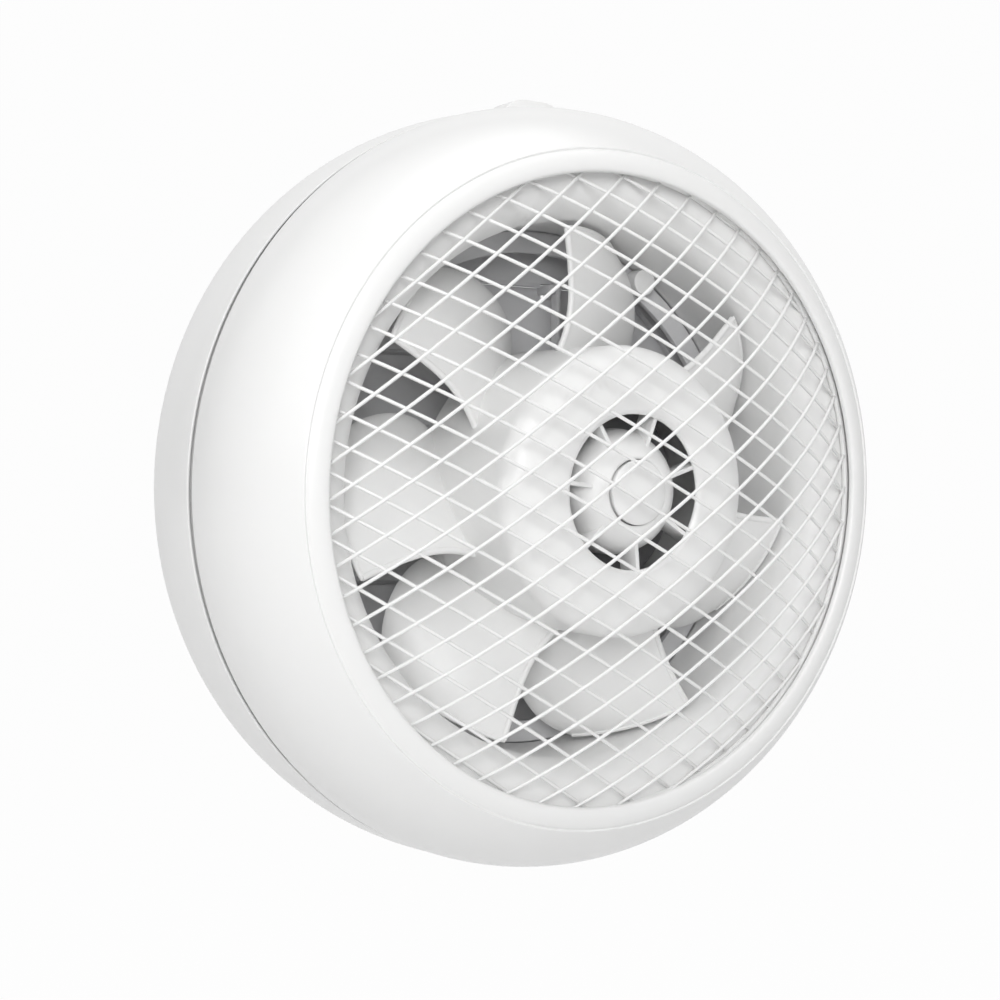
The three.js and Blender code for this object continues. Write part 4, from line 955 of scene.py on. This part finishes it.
def blade_bead():
    """The rounded bead that runs up the leading edge and over the tip."""
    edge = [
        blade_point(blade_row(BEAD_START + BEAD_LENGTH * i / BEAD_STEPS), BEAD_INSET, 0.0)
        for i in range(BEAD_STEPS + 1)
    ]
    tip = [
        blade_point(blade_row(TIP_BEAD_PLACE), BEAD_INSET + TIP_BEAD_LENGTH * i / BEAD_STEPS, 0.0)
        for i in range(1, BEAD_STEPS + 1)
    ]
    return rod(edge, BEAD_RADIUS, 12) + rod([edge[-1]] + tip, BLADE_HALF, 10)


def blade():
    """A twisted blade with thin rounded edges and a rounded tip corner at its trailing end."""
    rows = [blade_row((i / STATIONS) ** STATION_CROWDING) for i in range(STATIONS + 1)]
    corners = []
    for side in (-1, 1):
        for row in rows:
            for k in range(CHORDS + 1):
                t = 0.5 - 0.5 * math.cos(math.pi * k / CHORDS)
                fullness = min(1.0, EDGE_SHARE + EDGE_FULLNESS * math.sqrt(t * (1 - t)))
                corners.append(blade_point(row, t, side * (BLADE_HALF * fullness)))
    wide = CHORDS + 1
    total = (STATIONS + 1) * wide
    faces = []
    for i in range(STATIONS):
        for k in range(CHORDS):
            a = i * wide + k
            faces.append((a, a + 1, a + wide + 1, a + wide))
            faces.append((total + a, total + a + wide, total + a + wide + 1, total + a + 1))
        for k, flip in ((0, False), (CHORDS, True)):
            a = i * wide + k
            edge = (a, a + wide, total + a + wide, total + a)
            faces.append(tuple(reversed(edge)) if flip else edge)
    for k in range(CHORDS):
        a = STATIONS * wide + k
        faces.append((a, a + 1, total + a + 1, total + a))
    return Shape(corners, faces)


piece(
    "impeller_moulding", hub + boss + spokes + (blade() + blade_bead()).around(BLADE_COUNT),
    "white_blade", "rotor", "impeller",
)
piece(
    "centre_cap", capped(CAP_OUTLINE, 96, soft=0.3), "white_blade", "rotor", "impeller_cap",
)

# ---------------------------------------------------------------- motor and its spider

CAN_RADIUS = 44.0
CAN_BORE = 5.5
CAN_WALL = 2.5
CAN_ROUND = 5
CAN_INSIDE_CORNER = 5.5
FRONT_CAN = (-34.0, -12.65)
REAR_CAN = (9.0, -12.35)
SPIDER_FRONT, SPIDER_REAR = 9.3, 12.3
SPIDER_RIM = (99.5, 108.5)
SPIDER_PLATE = (14.0, 38.0)
SPIDER_ARM = ((35.0, SPIDER_FRONT, -5.5), (102.5, SPIDER_REAR, 5.5))
ARM_RIB = ((35.0, SPIDER_REAR - OVERLAP, -1.25), (100.5, 16.3, 1.25))


def motor_can(end, opening):
    """Half of the motor's can: a drawn cup with a rolled shoulder."""
    inward = 1 if opening > end else -1
    arc = [
        (CAN_RADIUS - CAN_ROUND + CAN_ROUND * math.sin(math.radians(a)),
         end + inward * (CAN_ROUND - CAN_ROUND * math.cos(math.radians(a))))
        for a in range(0, 91, 10)
    ]
    return turned(
        [(CAN_BORE, end)] + arc
        + [(CAN_RADIUS, opening), (CAN_RADIUS - CAN_WALL, opening),
           (CAN_RADIUS - CAN_WALL, end + inward * CAN_INSIDE_CORNER),
           (CAN_RADIUS - CAN_INSIDE_CORNER, end + inward * CAN_WALL),
           (CAN_BORE, end + inward * CAN_WALL)],
        SMALL_SIDES, soft=0.4,
    )


piece("motor_front_can", motor_can(*FRONT_CAN), "dark_motor", "housing", "motor_front_shell")
piece("motor_rear_can", motor_can(*REAR_CAN), "dark_motor", "housing", "motor_rear_shell")

spider_rim = flat_ring(*SPIDER_RIM, SPIDER_FRONT, SPIDER_REAR)
spider_plate = flat_ring(*SPIDER_PLATE, SPIDER_FRONT, SPIDER_REAR, sides=96)
spider_arm = block(*SPIDER_ARM) + block(*ARM_RIB, soft=0.5)
piece(
    "motor_support", spider_rim + spider_plate + spider_arm.around(ARM_COUNT, SPIDER_START),
    "grey_flap", "housing", "motor_spider",
)

# ---------------------------------------------------------------- screws and nuts

POINT_SHARE = 0.6
HEAD_CROWN = ((1.0, 0.0), (1.0, 0.45), (0.92, 0.75), (0.7, 0.94), (0.0, 1.0))
RECESS_DEPTH = 0.12
RECESS_EDGE = 0.06
RECESS_REACH = 0.62
RECESS_HALF = 0.13


def pan_screw(shank, head, height, seat, tip):
    """A pan-head screw along Y, with a crowned head whose cross recess is not cut: it is painted
    shade, a black cross laid in the crown.
    """
    out = 1.0 if seat > tip else -1.0
    height -= RECESS_EDGE
    shaft = capped(
        [(0, tip), (shank * POINT_SHARE, tip), (shank, tip + out * shank), (shank, seat),
         (0, seat)],
        20,
    )
    crown = [(head * across, seat + out * height * up) for across, up in HEAD_CROWN]
    top = capped([(0, seat)] + crown, 32, soft=0.15)
    # the recess is painted shade: a thin black cross block set into the crown, standing just proud
    # of it
    arm = head * RECESS_REACH
    wide = head * RECESS_HALF
    lift = seat + out * (height - RECESS_DEPTH)
    low, high = sorted((lift, lift + out * (RECESS_DEPTH + RECESS_EDGE)))
    cross = block((-arm, low, -wide), (arm, high, wide), soft=0.0)
    cross = cross + block((-wide, low, -arm), (wide, high, arm), soft=0.0)
    return shaft + top, cross


def screws(kind, ring, count, start, **sizes):
    """A ring of like screws, each standing for its own CAD node."""
    body, cross = pan_screw(**sizes)
    for i in range(count):
        angle = start + FULL_TURN * i / count
        place = body.at(ring, 0, 0).spun(angle)
        thing = piece(f"{kind}_{i + 1}_pan", place, "steel", "housing", f"{kind}_{i + 1}")
        # each head carries the black cross of painted shade that stands for its recess
        recess_shade = piece(
            f"{kind}_{i + 1}_recess_painted_shade", cross.at(ring, 0, 0).spun(angle), "black_plastic",
            "housing",
        )
        recess_shade.parent = thing


screws(
    "clamp_screw", CLAMP_CIRCLE, CORNER_COUNT, DIAGONAL,
    shank=2.0, head=4.0, height=2.6, seat=-11.7, tip=12.6,
)
screws(
    "spider_screw", SPIDER_CIRCLE, ARM_COUNT, SPIDER_START,
    shank=1.5, head=3.0, height=2.0, seat=12.6, tip=2.8,
)
screws(
    "motor_screw", MOTOR_SCREW_CIRCLE, ARM_COUNT, SPIDER_START + 60.0,
    shank=2.0, head=3.6, height=2.2, seat=12.6, tip=6.8,
)
screws(
    "shutter_screw", SHUTTER_CIRCLE, CORNER_COUNT, DIAGONAL,
    shank=1.5, head=3.0, height=2.0, seat=28.6, tip=17.3,
)
screws(
    "cover_screw", PILLAR_CIRCLE, CORNER_COUNT, 0.0,
    shank=1.7, head=3.4, height=2.2, seat=66.15, tip=51.05,
)

# ---------------------------------------------------------------- shutter

HINGE_Y = 29.5
TOP_HINGE = 86.0
PIN_RADIUS = 1.5
PIN_ROOT = 3
SHUTTER_FRONT, SHUTTER_REAR = 24.3, 28.3
SHUTTER_OUTER = 121.0
OPENING_RADIUS = 104.0
SEGMENT_FOOT = 1.0
SEGMENT_LAP = 3.0
SEGMENT_NOTCH_LEFT, SEGMENT_NOTCH_RIGHT = 13.0, 18.0
ARC_STEPS = 24
EAR_HALF = 3.2
EAR_GAP = 0.6
EAR_THICKNESS = 3.0
EAR_REACH = 4.4
FLAP_COUNT = 6
FLAP_PITCH = 32.0
FLAP_RADIUS = 107.0
FLAP_FRONT = 28.7
FLAP_THICKNESS = 1.6
FLAP_REAR = FLAP_FRONT + FLAP_THICKNESS
FLAP_TOP = 1.0
FLAP_BOTTOM = 2.4
FLAP_END_HEIGHT = 1.2
FLAP_SHOULDER = 6.5
LAST_FLAP_SHARE = 0.985
SIDE_STEPS = 14
SUNK = 0.8
STRIP_INSET = 3.5
STRIP_THICKNESS = 1.4
STRIP_HEIGHT = 2.5
STIFFENER_RISE = 2.0
STIFFENER_INSET = 4.0
STIFFENER_REACH = 6.1
STIFFENER_THICKNESS = 1.6
CRANK_LEFT, CRANK_RIGHT = 14.0, 17.0
CRANK_LENGTH = 9.0
CRANK_HALF = 2.0
CRANK_PIN_ROOT = 1.5
CRANK_PIN_END = 1.0
LINK_LEFT, LINK_RIGHT = 17.5, 19.5
LINK_HALF = 2.5
LINK_END = 3.2
LINK_NOTCH_SIDE, LINK_NOTCH_DEPTH = 1.5, 3.6


def hinge_z(index):
    """The height of a flap's hinge, counted from the top."""
    return TOP_HINGE - index * FLAP_PITCH


def flap_half(index):
    """Half the width of a flap at its hinge."""
    z = hinge_z(index)
    return min(half_chord(FLAP_RADIUS, z + FLAP_END_HEIGHT), half_chord(FLAP_RADIUS, z))


def shutter_mount():
    """The shutter's frame: a ring with a fixed top segment and an ear for each hinge pin."""
    rim = flat_ring(OPENING_RADIUS, SHUTTER_OUTER, SHUTTER_FRONT, SHUTTER_REAR)
    low = TOP_HINGE + SEGMENT_FOOT
    radius = OPENING_RADIUS + SEGMENT_LAP
    start = math.asin(low / radius)
    sweep = math.pi - 2 * start
    arc = [
        (radius * math.cos(start + sweep * i / ARC_STEPS),
         radius * math.sin(start + sweep * i / ARC_STEPS))
        for i in range(ARC_STEPS + 1)
    ]
    notch = TOP_HINGE + FLAP_BOTTOM
    left, right = SEGMENT_NOTCH_LEFT, SEGMENT_NOTCH_RIGHT
    outline = arc + [(left, low), (left, notch), (right, notch), (right, low)]
    total = rim + plate(outline, SHUTTER_FRONT, SHUTTER_REAR)
    for index in range(FLAP_COUNT):
        z = hinge_z(index)
        inner = flap_half(index) + EAR_GAP
        for side in (-1, 1):
            left, right = sorted((side * inner, side * (inner + EAR_THICKNESS)))
            total = total + block(
                (left, SHUTTER_REAR - OVERLAP, z - EAR_HALF),
                (right, HINGE_Y + EAR_REACH, z + EAR_HALF), soft=0.8,
            )
    return total


piece("shutter_mount", shutter_mount(), "grey_flap", "housing", "shutter_frame")


def flap_outline(index):
    """The outline of a flap, drawn in where the hinge ears stand beside it."""
    last = index == FLAP_COUNT - 1
    top = hinge_z(index) + FLAP_TOP
    bottom = -FLAP_RADIUS * LAST_FLAP_SHARE if last else hinge_z(index + 1) + FLAP_BOTTOM
    shoulder_z = hinge_z(index) - FLAP_SHOULDER
    half = flap_half(index)
    ear_top = hinge_z(index + 1) + EAR_HALF + EAR_GAP
    narrowed = not last and half_chord(FLAP_RADIUS, bottom) + EAR_GAP > flap_half(index + 1)
    lowest = ear_top if narrowed else bottom
    side = [(half, top)]
    if half_chord(FLAP_RADIUS, shoulder_z) > half:
        side.append((half, shoulder_z))
    for i in range(SIDE_STEPS + 1):
        z = shoulder_z + (lowest - shoulder_z) * i / SIDE_STEPS
        side.append((half_chord(FLAP_RADIUS, z), z))
    if narrowed:
        inner = flap_half(index + 1) - EAR_GAP
        side += [(inner, ear_top), (inner, bottom)]
    # room in the top edge for the link bar, which the open flap comes down on
    left, right = LINK_LEFT - LINK_NOTCH_SIDE, LINK_RIGHT + LINK_NOTCH_SIDE
    low = hinge_z(index) - LINK_NOTCH_DEPTH
    notch = [(left, top), (left, low), (right, low), (right, top)]
    return side + [(-x, z) for x, z in reversed(side)] + notch


def cover_strip(index):
    """The strip below a flap that covers the gap to the next one from the outdoor side."""
    bottom = hinge_z(index + 1) + FLAP_BOTTOM
    half = flap_half(index + 1) - STRIP_INSET
    front = FLAP_REAR + SEAT_GAP
    rear = front + STRIP_THICKNESS
    root = block((-half, FLAP_REAR - SUNK, bottom), (half, rear, bottom + STRIP_HEIGHT), soft=0.3)
    return root + block(
        (-half, front, bottom - STRIP_HEIGHT), (half, rear, bottom + OVERLAP), soft=0.3
    )


def flap(index):
    """A flap with its hinge pins, crank, crank pin and stiffening rib."""
    z = hinge_z(index)
    half = flap_half(index)
    outline = softened(flap_outline(index), 1.2)
    total = plate(outline, FLAP_FRONT, FLAP_REAR, 0.5)
    if index < FLAP_COUNT - 1:
        total = total + cover_strip(index)
    for side in (-1, 1):
        left, right = sorted((side * (half - PIN_ROOT), side * (half + EAR_GAP + EAR_THICKNESS)))
        total = total + bar_x(PIN_RADIUS, left, right, HINGE_Y, z)
    pin_y = HINGE_Y - CRANK_LENGTH
    total = total + block(
        (CRANK_LEFT, pin_y - CRANK_HALF, z - CRANK_HALF),
        (CRANK_RIGHT, FLAP_FRONT + SUNK, z + CRANK_HALF), soft=0.6,
    )
    total = total + bar_x(
        PIN_RADIUS, CRANK_LEFT + CRANK_PIN_ROOT, LINK_RIGHT + CRANK_PIN_END, pin_y, z
    )
    rib_z = min(height for _, height in outline) + STIFFENER_RISE
    next_half = flap_half(min(index + 1, FLAP_COUNT - 1))
    rib_half = min(half_chord(FLAP_RADIUS, rib_z), next_half) - STIFFENER_INSET
    return total + block(
        (-rib_half, FLAP_FRONT + SUNK, rib_z),
        (rib_half, FLAP_FRONT + STIFFENER_REACH, rib_z + STIFFENER_THICKNESS), soft=0.5,
    )


for index in range(FLAP_COUNT):
    piece(
        f"flap_{index + 1}_moulding", flap(index), "grey_flap", f"flap_{index + 1}",
        f"shutter_flap_{index + 1}",
    )

link_y = HINGE_Y - CRANK_LENGTH
link_bar = block(
    (LINK_LEFT, link_y - LINK_HALF, hinge_z(FLAP_COUNT - 1) - LINK_END),
    (LINK_RIGHT, link_y + LINK_HALF, hinge_z(0) + LINK_END), soft=0.6,
)
piece("link_bar", link_bar, "grey_flap", "link", "shutter_link")

# ---------------------------------------------------------------- terminal box

TERMINAL_LID = ((-23.0, -27.7, -139.0), (23.0, -25.7, -123.0))

piece(
    "terminal_cover", block(*TERMINAL_LID, soft=0.8, steps=3), "white_frame", "housing",
    "terminal_lid",
)

# ---------------------------------------------------------------- floor, backdrop and light

FLOOR_HEIGHT = -0.42
FLOOR_FRONT = -4.0
FLOOR_DEPTH = 3.0
FLOOR_HALF = 6.0
FLOOR_SHADE = 0.76
SWEEP_RADIUS = 1.2
SWEEP_STEPS = 24
BACKDROP_TOP = 5.0
CAMERA_AZIMUTH = -31.7
GLOW_SHARE = 0.97
WHITE = (1.0, 1.0, 1.0, 1.0)
WORLD_ON_OBJECT = 0.41
WORLD_MORE_IN_VIEW = 0.59


def pale_surface(name, shade):
    """A pale surface that the camera and reflections see as white, and that keeps its shadows."""
    finish = Finish(name, (shade,) * 3, 0.9)
    rays = [
        finish.node("ShaderNodeLightPath", output=ray)
        for ray in ("Is Camera Ray", "Is Glossy Ray", "Is Transmission Ray")
    ]
    seen = rays[0] + rays[1] + rays[2]
    glow = finish.node("ShaderNodeEmission", None, {"Color": WHITE, "Strength": 1.0})
    paint = Reading(finish, finish.shader.outputs[0])
    white = finish.node("ShaderNodeMixShader", None, {0: seen * GLOW_SHARE, 1: paint, 2: glow})
    output = next(n for n in finish.tree.nodes if n.type == "OUTPUT_MATERIAL")
    finish.tree.links.new(white.socket, output.inputs["Surface"])
    finish.set("Base Color", finish.mixed(
        finish.noise(scale=3.0), (shade - 0.01,) * 3 + (1.0,), (shade,) * 3 + (1.0,)
    ))
    return finish


def studio_floor():
    """A wide floor that curves up behind the object."""
    back = []
    for i in range(SWEEP_STEPS + 1):
        a = math.radians(90 * i / SWEEP_STEPS)
        back.append((
            FLOOR_DEPTH + SWEEP_RADIUS * math.sin(a),
            FLOOR_HEIGHT + SWEEP_RADIUS * (1 - math.cos(a)),
        ))
    line = [(FLOOR_FRONT, FLOOR_HEIGHT)] + back + [(FLOOR_DEPTH + SWEEP_RADIUS, BACKDROP_TOP)]
    corners = [(x, y, z) for y, z in line for x in (-FLOOR_HALF, FLOOR_HALF)]
    faces = [(2 * i, 2 * i + 1, 2 * i + 3, 2 * i + 2) for i in range(len(line) - 1)]
    mesh = bpy.data.meshes.new("studio_floor")
    mesh.from_pydata(corners, [], faces)
    for polygon in mesh.polygons:
        polygon.use_smooth = True
    mesh.materials.append(pale_surface("studio_floor", FLOOR_SHADE).material)
    floor = bpy.data.objects.new("studio_floor", mesh)
    floor.rotation_euler[2] = math.radians(CAMERA_AZIMUTH)
    bpy.context.scene.collection.objects.link(floor)


def softbox(name, place, side, power):
    """A large square lamp that faces the middle of the pane."""
    lamp = bpy.data.lights.new(name, "AREA")
    lamp.shape = "RECTANGLE"
    lamp.size = side
    lamp.size_y = side
    lamp.energy = power
    holder = bpy.data.objects.new(name, lamp)
    holder.location = place
    holder.rotation_euler = (-Vector(place)).to_track_quat("-Z", "Y").to_euler()
    bpy.context.scene.collection.objects.link(holder)


studio_floor()
softbox("key_softbox", place=(-1.8, -1.0, 1.1), side=1.8, power=7.5)
softbox("top_softbox", place=(0.2, -0.6, 2.0), side=2.0, power=15.0)
softbox("front_fill", place=(-1.2, -1.9, 0.6), side=0.9, power=22.0)

world = bpy.data.worlds.new("studio")
world.use_nodes = True
world_tree = world.node_tree
background = world_tree.nodes["Background"]
background.inputs["Color"].default_value = WHITE
path = world_tree.nodes.new("ShaderNodeLightPath")
lit = world_tree.nodes.new("ShaderNodeMath")
lit.operation = "MULTIPLY_ADD"
lit.inputs[1].default_value = WORLD_MORE_IN_VIEW
lit.inputs[2].default_value = WORLD_ON_OBJECT
world_tree.links.new(path.outputs["Is Camera Ray"], lit.inputs[0])
world_tree.links.new(lit.outputs[0], background.inputs["Strength"])
bpy.context.scene.world = world

bpy.context.scene.view_settings.view_transform = "Standard"
